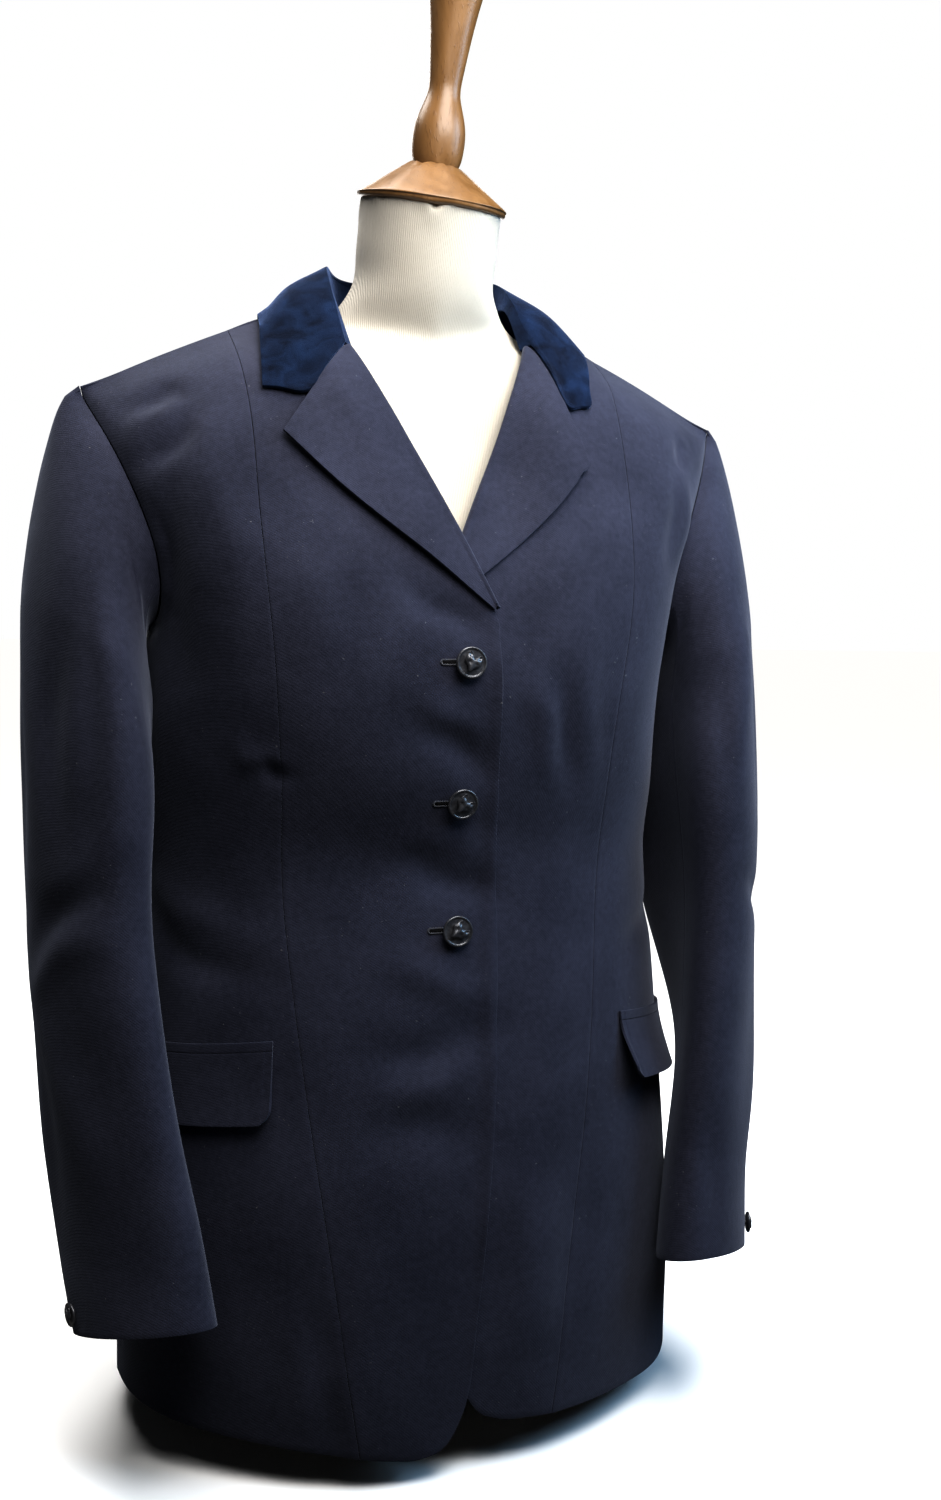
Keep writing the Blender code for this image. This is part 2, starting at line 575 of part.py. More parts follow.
def sleeve(side, material):
    """A two-piece sleeve: the top piece outside and the under piece towards the body."""
    outer = sleeve_rings(side)
    inner = sleeve_inside(side, outer)
    steps = outer.shape[1]
    front = steps // 4 + FRONT_SEAM_STEP
    back = 3 * steps // 4
    spans = {"top_sleeve": list(range(back, steps)) + list(range(0, front + 1)),
             "under_sleeve": list(range(front, back + 1))}
    for name, span in spans.items():
        walls = []
        for wall in (outer, inner):
            piece = wall[:, span].copy()
            for end, beside in ((0, 1), (-1, -2)):
                run = piece[:, beside] - piece[:, end]
                piece[:, end] += run / np.linalg.norm(run, axis=-1, keepdims=True) * SEAM / 2
            walls.append(piece)
        cloth_solid(f"{name}_{SIDE_NAMES[side]}", *walls, material)
    return outer


# Lapels and collar
def lapel_outline(side):
    """Level and distance from the centre of the roll line and of the outer edge, row by row."""
    start = UNDER_LAPEL_START if side > 0 else 0.02
    share = np.linspace(start, 1, LAPEL_ROWS + 1)
    low = level_of_height(BREAK_HEIGHT)
    roll_level = low + (LAPELS[side].gorge_level - low) * share
    outer_level = low + (LAPELS[side].tip_level - low) * share
    outer_x = (-BREAK_X + (LAPELS[side].tip_x + BREAK_X) * share
               + LAPEL_BELLY * np.sin(math.pi * share ** 1.3))
    return share, roll_level, -edge_x(roll_level), outer_level, outer_x


def lapel(side, material):
    """The turned-back part of a front: it wraps the roll line and lies out over the front."""
    # distance past the fold (negative is into the neck) and height off the front, on both faces
    wrap_out = np.array(((-0.0030, -CLOTH), (-0.0036, 0.0002), (-0.0022, 0.0030)))
    wrap_in = np.array(((-0.0010, -CLOTH), (-0.0010, 0.0000), (-0.0006, LAYER)))
    columns = np.array([0.06, 0.16, 0.34, 0.56, 0.80, 1.0])
    outer, inner = [], []
    for share, roll_level, fold_x, outer_level, outer_x in zip(*lapel_outline(side)):
        width = outer_x - fold_x
        level = np.concatenate((np.full(len(wrap_out), roll_level),
                                roll_level + (outer_level - roll_level) * columns))
        room = ease((share - 0.35) / 0.3) if side > 0 else 1.0
        soft = room * min(1.0, width / 0.04) * (
            LAPEL_ROLL * np.exp(-((width * columns - 0.014) / 0.012) ** 2) + LAPEL_LIFT * columns ** 2)
        for rows, wrap, high in ((outer, wrap_out, LAYER + CLOTH), (inner, wrap_in, LAYER)):
            x = np.concatenate((fold_x + wrap[:, 0], fold_x + width * columns))
            out = np.concatenate((wrap[:, 1], high + soft))
            base = front_out(side, level, np.maximum(x, fold_x))
            rows.append(on_body(level, side * turn_of_x(level, x), out + base))
    return cloth_solid(f"lapel_{SIDE_NAMES[side]}", np.array(outer), np.array(inner), material)


def gorge_points(side):
    """Front end of the collar, from the fold along the gorge seam to the notch and out to its corner."""
    place = LAPELS[side]
    inner = np.array([place.gorge_level, -float(edge_x(np.array(place.gorge_level)))])
    tip = np.array([place.tip_level, place.tip_x])
    corner = np.array([place.corner_level, place.corner_x])
    notch = inner + (tip - inner) * NOTCH_SHARE
    shares = np.array(FALL_SHARES)[:, None]
    reach = shares / FALL_SHARES[NOTCH_COLUMN]
    past = (shares - FALL_SHARES[NOTCH_COLUMN]) / (1 - FALL_SHARES[NOTCH_COLUMN])
    return np.where(reach < 1, inner + (notch - inner) * reach, notch + (corner - notch) * past) + COLLAR_GAP


def collar_half(side):
    """Half of the collar as rows of points from the foot of the stand over the fold to the outer edge."""
    end = gorge_points(side)
    shares = np.array(FALL_SHARES)
    roll = LAYER + VELVET + COLLAR_REST + 0.5 * COLLAR_LIFT * np.sin(math.pi * np.minimum(shares * 1.6, 1.0))
    end_fall = on_body(end[:, 0], side * turn_of_x(end[:, 0], end[:, 1]), roll)
    stations = [(end_fall, end_fall[0] + np.array(STAND_DROP) * (side, 1, 1))]
    for place in COLLAR:
        fold = np.array([side * place.fold_x, place.fold_y, place.fold_z])
        edge = on_body(place.edge_level, side * math.radians(place.edge_turn), LAYER + VELVET + COLLAR_LIFT)
        bulge = np.sin(math.pi * shares)[:, None] * np.array([0.003 * np.sign(fold[0]), 0, 0.004])
        fall = fold + (edge - fold) * shares[:, None] + bulge
        stations.append((fall, np.array([side * place.foot_x, place.foot_y, place.foot_z])))
    half = np.array([np.concatenate(([foot + (fall[0] - foot) * up for up in STAND_SHARES], fall))
                     for fall, foot in stations])
    rows = np.linspace(0, len(half) - 1, COLLAR_STEPS * (len(half) - 1) + 1)
    half = np.stack([np.stack([through(half[:, c, k], rows) for k in range(3)], axis=-1)
                     for c in range(half.shape[1])], axis=1)
    for row in half[1:]:
        for point in row[len(STAND_SHARES) + 1:]:
            point[2] = max(point[2], body_height(point[0], point[1]) + COLLAR_CLEAR)
    return half


def collar(material):
    """The velvet collar: a stand round the neck, a fold at the top and a fall over the shoulders."""
    outer = np.concatenate((collar_half(-1)[:-1], collar_half(1)[::-1]))
    run, rise = np.gradient(outer, axis=0), np.gradient(outer, axis=1)
    normal = np.cross(run, rise)
    normal /= np.linalg.norm(normal, axis=-1, keepdims=True)
    return cloth_solid("collar", outer, outer - normal * VELVET, material)


# Pockets and buttons
def turns_along(level, start, distances):
    """Turns on a row at the given distances along the cloth from a starting turn."""
    turns = np.linspace(start, math.radians(130), 300)
    points = plain_body(np.full_like(turns, level), turns)
    run = np.concatenate(([0], np.cumsum(np.linalg.norm(np.diff(points, axis=0), axis=1))))
    return np.interp(distances, run, turns)


def pocket(side, material):
    """A welt along the pocket's mouth and a flap with rounded corners that hangs under it."""
    flap = FLAPS[side]
    start_level = level_of_height(POCKET_HEIGHT)
    start = float(turn_of_x(start_level, np.array(flap.front)))
    corner = FLAP_CORNER * (1 - np.cos(np.linspace(0, math.pi / 2, 4)))
    along = np.concatenate((corner, np.linspace(FLAP_CORNER, FLAP_WIDTH - FLAP_CORNER, 6)[1:-1],
                            FLAP_WIDTH - corner[::-1]))
    turns = turns_along(start_level, start, along)
    from_end = np.minimum(np.minimum(along, FLAP_WIDTH - along), FLAP_CORNER)
    depth = flap.drop - FLAP_CORNER + np.sqrt(FLAP_CORNER ** 2 - (FLAP_CORNER - from_end) ** 2)
    mouth = POCKET_HEIGHT - POCKET_SLOPE * along

    def strip(name, shares, top, drop, lift, curl):
        levels = np.array([[level_of_height(z) for z in mouth + top - drop * t] for t in shares])
        settle = 1 - FLAP_SETTLE * ease(along / FLAP_WIDTH)
        out = LAYER + lift * (np.array(shares) ** curl)[:, None] * settle[None, :]
        spread = np.broadcast_to(turns, levels.shape)
        walls = [on_body(levels, side * spread, out + high) for high in (CLOTH, 0.0)]
        return cloth_solid(f"{name}_{SIDE_NAMES[side]}", *walls, material)

    strip("pocket_welt", (0.0, 1.0), WELT_DEPTH + SEAM, WELT_DEPTH, 0.0, 1.0)
    strip("pocket_flap", (0.0, 0.25, 0.5, 0.75, 1.0), 0.0, depth, flap.lift, flap.curl)


def button(name, point, out, diameter, material):
    """A domed button on a shank, its back towards the cloth."""
    place = Matrix.Translation(point) @ Vector(out).to_track_quat("Z", "Y").to_matrix().to_4x4()
    profile = [(radius * diameter / 2, SEAM + height * diameter) for radius, height in BUTTON_PROFILE]
    return turned_solid(name, profile, place, material, BUTTON_SIDES)


def front_buttons(material):
    for number, height in enumerate(BUTTON_HEIGHTS, 1):
        level, turn = np.array(level_of_height(height)), np.array(-1e-6)
        out = body_frame(level, turn)[2]
        button(f"front_button_{number}", on_body(level, turn, 0.0), out, FRONT_BUTTON, material)


def cuff_button(side, material):
    """The button beside the back seam of a sleeve, just above the cuff's edge."""
    angle = math.radians(CUFF_BUTTON_TURN)
    lowest, above = SLEEVE[-1], SLEEVE[-2]
    at = len(SLEEVE) - 1 - CUFF_BUTTON_HEIGHT / (above.height - lowest.height)
    row = {name: float(value) for name, value in columns_at(SLEEVE, at).items()}
    point, ahead = sleeve_ring(side, row, np.array([angle, angle + 0.01]))
    along = (ahead - point) / np.linalg.norm(ahead - point)
    out = np.cross(along, [0, 0, 1]) * -side
    button(f"cuff_button_{SIDE_NAMES[side]}", point, out, CUFF_BUTTON, material)


# Dress form
def form_ring(row):
    turns = np.linspace(0, 2 * math.pi, FORM_SIDES, endpoint=False)
    x, y = oval(row["half_width"], row["front"], row["back"], row["square"], turns)
    z = row["height"] + math.tan(math.radians(row["lean"])) * y - math.tan(math.radians(row["tilt"])) * x
    return np.stack([x, y + row["middle"], np.broadcast_to(z, x.shape)], axis=1)


def dress_form(material, wood):
    levels = np.linspace(0, len(FORM) - 1, FORM_ROWS + 1)
    rows = [{name: float(v) for name, v in columns_at(FORM, at).items()} for at in levels]
    ring_solid("form_torso", [form_ring(row) for row in rows], material)
    top = FORM[-1]
    place = (Matrix.Translation((0, top.middle, top.height))
             @ Matrix.Rotation(math.radians(top.tilt), 4, "Y")
             @ Matrix.Rotation(math.radians(top.lean), 4, "X"))
    cap = [(radius, height + SEAM) for radius, height in CAP_PROFILE]
    turned_solid("form_neck_cap", cap, place, wood)
    foot = cap[-1][1] + SEAM
    turned_solid("form_handle", [(r, h + foot) for r, h in HANDLE_PROFILE], place, wood)


def build():
    for old in list(bpy.data.objects):
        bpy.data.objects.remove(old, do_unlink=True)
    wool = make_material("navy_wool", NAVY, 0.85)
    velvet = make_material("navy_velvet", VELVET_NAVY, 0.95)
    cover = make_material("cream_jersey", CREAM, 0.9)
    wood = make_material("beech", BEECH, 0.45)
    horn = make_material("black_horn", HORN, 0.25)
    for side in SIDE_NAMES:
        front_panel(side, wool)
        side_panel(side, wool)
        back_panel(side, wool)
        sleeve(side, wool)
        lapel(side, wool)
        pocket(side, wool)
        cuff_button(side, horn)
    front_buttons(horn)
    collar(velvet)
    dress_form(cover, wood)


build()
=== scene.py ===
# %% [markdown]
# # A hunting jacket on a dress form
# The object is a navy wool hunting jacket with a velvet collar, and the limbless dress form that wears
# it. The frame holds the plain solids of both. This lesson dresses them: every wall of cloth becomes a
# finer skin with soft creases, the buttons get their relief, and each surface gets its own finish.

import math
from collections import namedtuple

import bpy
import numpy as np
from mathutils import Matrix, Vector, noise
from mathutils.bvhtree import BVHTree


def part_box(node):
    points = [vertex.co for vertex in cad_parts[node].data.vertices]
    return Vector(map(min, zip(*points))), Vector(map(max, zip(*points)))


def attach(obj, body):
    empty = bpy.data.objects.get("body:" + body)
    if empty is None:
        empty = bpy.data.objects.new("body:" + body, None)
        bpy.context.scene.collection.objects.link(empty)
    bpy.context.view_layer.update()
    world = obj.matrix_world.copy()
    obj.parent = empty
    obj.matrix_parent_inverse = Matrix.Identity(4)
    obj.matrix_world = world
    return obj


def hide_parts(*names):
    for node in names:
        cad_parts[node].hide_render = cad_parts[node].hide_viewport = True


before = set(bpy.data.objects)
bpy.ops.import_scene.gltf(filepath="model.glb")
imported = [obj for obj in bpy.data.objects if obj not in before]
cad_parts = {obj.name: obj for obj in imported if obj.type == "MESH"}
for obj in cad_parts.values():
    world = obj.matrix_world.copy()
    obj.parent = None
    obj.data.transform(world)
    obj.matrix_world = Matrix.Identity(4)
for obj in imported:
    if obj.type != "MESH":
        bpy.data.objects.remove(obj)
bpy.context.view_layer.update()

# %% [markdown]
# ## Camera and light
# The photograph was taken from in front of the jacket's right side, a little above the waist, with a
# normal lens about a metre away. A camera is set with its place and three turns: down, round and a
# small roll. The light is what a shop gives: a soft panel in front of the shoulders and above them,
# whose light falls off towards the hem, a small lamp above the neck, one behind that shows the back, an
# even light from straight above that reaches the floor right to the back, and a cooler window on the
# viewer's right. The rest of the room is dim, the backdrop is plain white, and the picture gets some of
# the contrast that a phone adds.

# %% Camera
PHOTO_HEIGHT = 1500
FOCAL_PIXELS = 1386
SENSOR = 36
NEAREST_SEEN = 0.01
CAMERA_PLACE = (-0.2814, -0.9638, 0.560)
CAMERA_TURNS = {"round": -18.9, "down": 5.3, "roll": 1.14}

camera = bpy.data.objects.new("camera", bpy.data.cameras.new("camera"))
bpy.context.scene.collection.objects.link(camera)
camera.data.sensor_width = SENSOR
camera.data.lens = FOCAL_PIXELS / PHOTO_HEIGHT * SENSOR
camera.data.clip_start = NEAREST_SEEN
camera.matrix_world = (
    Matrix.Translation(CAMERA_PLACE)
    @ Matrix.Rotation(math.radians(CAMERA_TURNS["round"]), 4, "Z")
    @ Matrix.Rotation(math.radians(90 - CAMERA_TURNS["down"]), 4, "X")
    @ Matrix.Rotation(math.radians(CAMERA_TURNS["roll"]), 4, "Z")
)
bpy.context.scene.camera = camera
print("lens", round(camera.data.lens, 2), "mm")


# %% Lights
def soft_light(name, kind, place, towards, strength, colour):
    """A lamp at a place that shines in a direction."""
    lamp = bpy.data.lights.new(name, kind)
    lamp.energy = strength
    lamp.color = colour
    made = bpy.data.objects.new(name, lamp)
    turn = Vector(towards).to_track_quat("-Z", "Y").to_matrix().to_4x4()
    made.matrix_world = Matrix.Translation(place) @ turn
    made.visible_camera = False
    bpy.context.scene.collection.objects.link(made)
    return lamp


WARM = (1.0, 0.985, 0.965)
COOL = (0.46, 0.72, 1.0)
panel = soft_light("panel", "AREA", (0.12, -0.62, 1.24), (-0.08, 1.0, -0.08), 20.0, WARM)
panel.size = 0.7
ceiling = soft_light("ceiling", "SUN", (0, 0, 3), (-0.05, 0.10, -1.0), 3.2, WARM)
ceiling.angle = math.radians(40)
window = soft_light("window", "AREA", (0.95, -0.50, 1.05), (-0.80, 0.42, -0.25), 11.5, COOL)
window.size = 0.6
lamp_above = soft_light("lamp_above", "AREA", (-0.35, 0.25, 1.45), (0.30, -0.25, -0.70), 7.0, WARM)
lamp_above.size = 0.5
lamp_behind = soft_light("lamp_behind", "AREA", (0.10, 1.05, 1.00), (-0.08, -1.0, -0.35), 13.0, WARM)
lamp_behind.size = 0.8

# %% Room and backdrop
DIM_ROOM = 0.02
ROOM_COLOUR = (0.90, 0.95, 1.0, 1)
BACKDROP = 1.0
WHITE = (1, 1, 1, 1)
CONTRAST = 0.76
world = bpy.data.worlds.new("studio")
world.use_nodes = True
bpy.context.scene.world = world
room = world.node_tree
seen = room.nodes["Background"]
seen.inputs["Color"].default_value = WHITE
seen.inputs["Strength"].default_value = BACKDROP
dim = room.nodes.new("ShaderNodeBackground")
dim.inputs["Color"].default_value = ROOM_COLOUR
dim.inputs["Strength"].default_value = DIM_ROOM
path = room.nodes.new("ShaderNodeLightPath")
choice = room.nodes.new("ShaderNodeMixShader")
room.links.new(path.outputs["Is Camera Ray"], choice.inputs[0])
room.links.new(dim.outputs[0], choice.inputs[1])
room.links.new(seen.outputs[0], choice.inputs[2])
room.links.new(choice.outputs[0], room.nodes["World Output"].inputs["Surface"])
bpy.context.scene.view_settings.view_transform = "Standard"
bpy.context.scene.view_settings.gamma = CONTRAST
print("backdrop", BACKDROP, "room", DIM_ROOM, "contrast", CONTRAST)

# %% [markdown]
# ## Finishes as Python expressions
# A finish is a small tree of shader nodes. Written with Blender's node calls alone it is long and hard
# to read, so one class wraps a socket and lets `+` and `*` add the Math nodes, and one method adds any
# other node: its type, its settings, then the values or links of its sockets.


# %% Shader helpers
class Value:
    """A socket that can be used in an expression."""

    def __init__(self, tree, socket):
        self.tree = tree
        self.socket = socket

    def join(self, operation, first, second):
        node = self.tree.nodes.new("ShaderNodeMath")
        node.operation = operation
        plug(self.tree, first, node.inputs[0])
        plug(self.tree, second, node.inputs[1])
        return Value(self.tree, node.outputs[0])

    def __add__(self, other):
        return self.join("ADD", self, other)

    def __radd__(self, other):
        return self.join("ADD", other, self)

    def __mul__(self, other):
        return self.join("MULTIPLY", self, other)

    def __rmul__(self, other):
        return self.join("MULTIPLY", other, self)


def plug(tree, value, socket):
    """Sets a socket to a number or colour, or links it to a value."""
    if isinstance(value, Value):
        tree.links.new(value.socket, socket)
    else:
        socket.default_value = value


class Finish:
    """A material with one Principled shader, whose varying inputs are linked one by one."""

    def __init__(self, name, **fixed):
        self.material = bpy.data.materials.new(name)
        self.material.use_nodes = True
        self.tree = self.material.node_tree
        self.shader = self.tree.nodes["Principled BSDF"]
        for name, value in fixed.items():
            socket = name.replace("_", " ").title().replace("Ior", "IOR")
            self.shader.inputs[socket].default_value = value

    def node(self, kind, settings, sockets, output=0):
        """Adds a node with its settings, or a ramp's stops, and plugs its sockets by name or number."""
        node = self.tree.nodes.new("ShaderNode" + kind)
        for name, value in settings.items():
            if name == "stops":
                while len(node.color_ramp.elements) < len(value):
                    node.color_ramp.elements.new(0.5)
                for element, (place, grey) in zip(node.color_ramp.elements, value):
                    element.position = place
                    element.color = (grey, grey, grey, 1)
            else:
                setattr(node, name, value)
        for name, value in sockets.items():
            plug(self.tree, value, node.inputs[name])
        return Value(self.tree, node.outputs[output])

    def place(self, turn=(0, 0, 0), stretch=(1, 1, 1)):
        """Object coordinates, turned and stretched."""
        coordinates = self.node("TexCoord", {}, {}, "Object")
        return self.node("Mapping", {}, {"Vector": coordinates, "Rotation": turn, "Scale": stretch})

    def speckle(self, scale, detail=2.0, at=None):
        """Soft noise from 0 to 1 at a scale of blobs for each metre."""
        at = at or self.place()
        return self.node("TexNoise", {}, {"Vector": at, "Scale": scale, "Detail": detail})

    def ramp(self, value, stops):
        return self.node("ValToRGB", {"stops": stops}, {"Fac": value})

    def mix(self, share, first, second):
        """A colour between two colours, whose sockets on the node are numbers 6 and 7."""
        return self.node("Mix", {"data_type": "RGBA"}, {"Factor": share, 6: first, 7: second}, output=2)

    def bump(self, height, depth):
        """A bump whose height runs from 0 to 1 over a depth in metres."""
        normal = self.node("Bump", {}, {"Height": height, "Distance": depth, "Strength": 1.0})
        plug(self.tree, normal, self.shader.inputs["Normal"])

    def feed(self, socket, value):
        plug(self.tree, value, self.shader.inputs[socket])


print("finishes are made by", Finish.__name__)

# %% [markdown]
# ## The wool
# Hunting cloth is a dense twill that has been milled, so its weave is nearly closed under a short nap.
# From a metre away it reads as matte navy with faint clouding, a soft pale edge where it turns from the
# eye, and here and there a fleck of lint. The twill and the fibres are bumps, the clouding and the lint
# are in the colour, and the pale edge is sheen.

# %% Wool
wool = Finish("navy_wool_twill", specular_ior_level=0.25,
              sheen_weight=0.22, sheen_roughness=0.45, sheen_tint=(0.62, 0.68, 0.85, 1))
WOOL_DEEP = (0.0133, 0.0148, 0.0288, 1)
WOOL_PALE = (0.0365, 0.0390, 0.0640, 1)
LINT = (0.16, 0.16, 0.17, 1)
LINT_SHARE = 0.55
WOOL_RELIEF = 0.00035

clouds = wool.speckle(16, 4.0)
fibres = wool.speckle(1400, 3.0)
nap = wool.speckle(240, 3.0)
twill = wool.node("TexWave", {"bands_direction": "DIAGONAL"},
                  {"Vector": wool.place(), "Scale": 300.0, "Distortion": 1.5, "Detail": 1.0})
tone = wool.ramp(0.45 * clouds + 0.30 * nap + 0.25 * fibres, [(0.36, 0.0), (0.64, 1.0)])
flecks = wool.ramp(wool.speckle(520, 1.0), [(0.745, 0.0), (0.775, 1.0)])
patches = wool.ramp(wool.speckle(38, 1.0), [(0.52, 0.0), (0.60, 1.0)])
navy = wool.mix(tone, WOOL_DEEP, WOOL_PALE)
wool.feed("Base Color", wool.mix(LINT_SHARE * (flecks * patches), navy, LINT))
wool.feed("Roughness", 0.80 + 0.15 * nap)
wool.bump(0.12 * twill + 0.58 * fibres + 0.30 * nap, WOOL_RELIEF)
print("wool nodes:", len(wool.tree.nodes))

# %% [markdown]
# ## The velvet
# The collar is cotton velvet. Its pile leans in different ways where it has been stroked or crushed, so
# the blue is mottled in soft islands, and it glows at grazing angles. Sheen with a strong weight makes
# the glow, and two scales of noise make the islands.

# %% Velvet
velvet = Finish("navy_velvet_pile", roughness=1.0, specular_ior_level=0.1,
                sheen_weight=0.62, sheen_roughness=0.32, sheen_tint=(0.32, 0.46, 0.85, 1))
VELVET_DEEP = (0.0022, 0.0042, 0.0115, 1)
VELVET_PALE = (0.0100, 0.0225, 0.0560, 1)
PILE_RELIEF = 0.0006
stroked = velvet.node("TexNoise", {},
                      {"Vector": velvet.place(), "Scale": 52.0, "Detail": 6.0, "Distortion": 0.9})
pile = velvet.speckle(1900, 2.0)
islands = velvet.ramp(0.8 * stroked + 0.2 * pile, [(0.38, 0.0), (0.68, 1.0)])
velvet.feed("Base Color", velvet.mix(islands, VELVET_DEEP, VELVET_PALE))
velvet.bump(0.6 * pile + 0.4 * velvet.speckle(120, 3.0), PILE_RELIEF)
print("velvet nodes:", len(velvet.tree.nodes))

# %% [markdown]
# ## Jersey, beech, horn and thread
# The dress form wears a cream cotton jersey, whose knitted columns run up and down. Its neck cap and
# handle are turned beech under satin lacquer: warm wood with short dark flecks along the grain. The
# buttons are dark and glossy with rubbed high spots, whose grey is partly wear and partly painted
# reflection, and the buttonholes are worked in navy silk thread, painted darker between its wraps.

# %% Jersey
JERSEY_DEEP = (0.46, 0.425, 0.365, 1)
JERSEY_PALE = (0.55, 0.515, 0.455, 1)
KNIT_RELIEF = 0.0003
jersey = Finish("cream_jersey_knit", roughness=0.9, sheen_weight=0.15, specular_ior_level=0.2)
columns = jersey.node("TexWave", {"bands_direction": "X"},
                      {"Vector": jersey.place(), "Scale": 260.0, "Distortion": 2.0, "Detail": 2.0})
loops = jersey.speckle(1100, 2.0)
faded = 0.6 * jersey.speckle(30, 3.0) + 0.4 * loops
jersey.feed("Base Color", jersey.mix(faded, JERSEY_DEEP, JERSEY_PALE))
jersey.bump(0.6 * columns + 0.4 * loops, KNIT_RELIEF)
print("jersey nodes:", len(jersey.tree.nodes))

# %% Beech
BEECH_DEEP = (0.160, 0.084, 0.030, 1)
BEECH_PALE = (0.205, 0.114, 0.046, 1)
BEECH_RAY = (0.088, 0.037, 0.012, 1)
RAY_RELIEF = 0.00008
beech = Finish("satin_beech", coat_weight=0.12, coat_roughness=0.25)
along = beech.place(stretch=(1.0, 1.0, 0.12))
rings = beech.node("TexNoise", {}, {"Vector": along, "Scale": 95.0, "Detail": 3.0, "Distortion": 0.6})
short_flecks = beech.speckle(620, 2.0, at=beech.place(stretch=(1.0, 1.0, 0.22)))
rays = beech.ramp(short_flecks, [(0.58, 0.0), (0.70, 1.0)])
plain_beech = beech.mix(beech.ramp(rings, [(0.35, 0.0), (0.66, 1.0)]), BEECH_DEEP, BEECH_PALE)
beech.feed("Base Color", beech.mix(0.35 * rays, plain_beech, BEECH_RAY))
beech.feed("Roughness", 0.30 + 0.14 * rings)
beech.bump(rays, RAY_RELIEF)
print("beech nodes:", len(beech.tree.nodes))

# %% Horn and thread
# The horn is paler where it is rubbed, which is wear, and its greys are also lifted to stand in for the
# light mirrored by its glossy face: partly painted reflection.
HORN_DARK = (0.040, 0.041, 0.048, 1)
HORN_WORN_AND_REFLECTING = (0.120, 0.122, 0.135, 1)
THREAD_GROOVE_SHADE = (0.016, 0.018, 0.030, 1)
THREAD_PALE = (0.060, 0.064, 0.088, 1)
WRAP_RELIEF = 0.0003
horn = Finish("black_horn_gloss", coat_weight=0.5, coat_roughness=0.16)
wear_and_reflection = horn.ramp(horn.speckle(300, 3.0), [(0.42, 0.0), (0.72, 1.0)])
horn.feed("Base Color", horn.mix(wear_and_reflection, HORN_DARK, HORN_WORN_AND_REFLECTING))
horn.feed("Metallic", 0.35 + 0.25 * wear_and_reflection)
horn.feed("Roughness", 0.30 + 0.16 * horn.speckle(90, 3.0))

thread = Finish("navy_silk_thread", roughness=0.55, sheen_weight=0.3, specular_ior_level=0.4)
# The thread is darker in the grooves between its wraps, by the same wave as its bump: painted shade in the
# grooves.
wraps_and_groove_shade = thread.node("TexWave", {"bands_direction": "X"}, {"Vector": thread.place(), "Scale": 520.0})
thread.feed("Base Color", thread.mix(wraps_and_groove_shade, THREAD_GROOVE_SHADE, THREAD_PALE))
thread.bump(wraps_and_groove_shade, WRAP_RELIEF)
print("finishes:", [m.name for m in bpy.data.materials if m.use_nodes][-6:])

# %% [markdown]
# ## From a solid wall to a skin of cloth
# Each piece of cloth in the frame is a wall about two millimetres thick, drawn with few facets. It needs
# a finer surface, so a copy of the wall is merged, its outer side is kept alone, and Subdivision Surface
# makes it smooth. Subdivision pulls a mesh inwards, so before it is applied the points are moved out
# until the smooth surface goes through the places they had. One outward face is selected in code, and
# Select Linked Flat Faces then takes in the rest of that side, as the rim turns off it at a sharp edge.

# %% Skin of a wall
CLOTH = 0.0018
VELVET = 0.0021
FLAT_TURN = 45
ROLLED_TURN = 62
SAME_PLACE = 0.00001
PAIR_ANGLE = 1.2
FIT_ROUNDS = 6
FIT_SHARE = 0.9
MOST_MOVED = 0.004


def choose(piece):
    """Makes a piece the only selected one and the active one."""
    bpy.ops.object.select_all(action="DESELECT")
    piece.select_set(True)
    bpy.context.view_layer.objects.active = piece


def apply_modifier(piece, kind, **settings):
    """Adds a modifier with its settings and applies it."""
    choose(piece)
    modifier = piece.modifiers.new(kind.title(), kind)
    for name, value in settings.items():
        setattr(modifier, name, value)
    bpy.ops.object.modifier_apply(modifier=modifier.name)


def copy_of(node, name):
    """A copy of a CAD node with its loose triangles merged."""
    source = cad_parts[node]
    piece = bpy.data.objects.new(name, source.data.copy())
    bpy.context.scene.collection.objects.link(piece)
    piece.data.materials.clear()
    choose(piece)
    bpy.ops.object.mode_set(mode="EDIT")
    bpy.ops.mesh.select_all(action="SELECT")
    bpy.ops.mesh.remove_doubles(threshold=SAME_PLACE)
    bpy.ops.mesh.customdata_custom_splitnormals_clear()
    bpy.ops.mesh.select_all(action="DESELECT")
    bpy.ops.object.mode_set(mode="OBJECT")
    return piece


def keep_outer_side(piece, outward, sharpest):
    """Keeps the side of a wall that faces outwards, up to the first edge that is sharper than an angle."""
    faces = piece.data.polygons
    seed = max(faces, key=lambda f: f.area * f.normal.dot(outward(f.center)))
    seed.select = True
    choose(piece)
    bpy.ops.object.mode_set(mode="EDIT")
    bpy.ops.mesh.select_mode(type="FACE")
    bpy.ops.mesh.faces_select_linked_flat(sharpness=math.radians(sharpest))
    bpy.ops.mesh.select_all(action="INVERT")
    bpy.ops.mesh.delete(type="FACE")
    bpy.ops.object.mode_set(mode="OBJECT")


def pair_triangles(piece):
    """Joins pairs of triangles into quads, which subdivide evenly."""
    choose(piece)
    bpy.ops.object.mode_set(mode="EDIT")
    bpy.ops.mesh.select_all(action="SELECT")
    bpy.ops.mesh.tris_convert_to_quads(face_threshold=PAIR_ANGLE, shape_threshold=PAIR_ANGLE)
    bpy.ops.object.mode_set(mode="OBJECT")


def points_of(mesh):
    found = np.empty(len(mesh.vertices) * 3)
    mesh.vertices.foreach_get("co", found)
    return found.reshape(-1, 3)


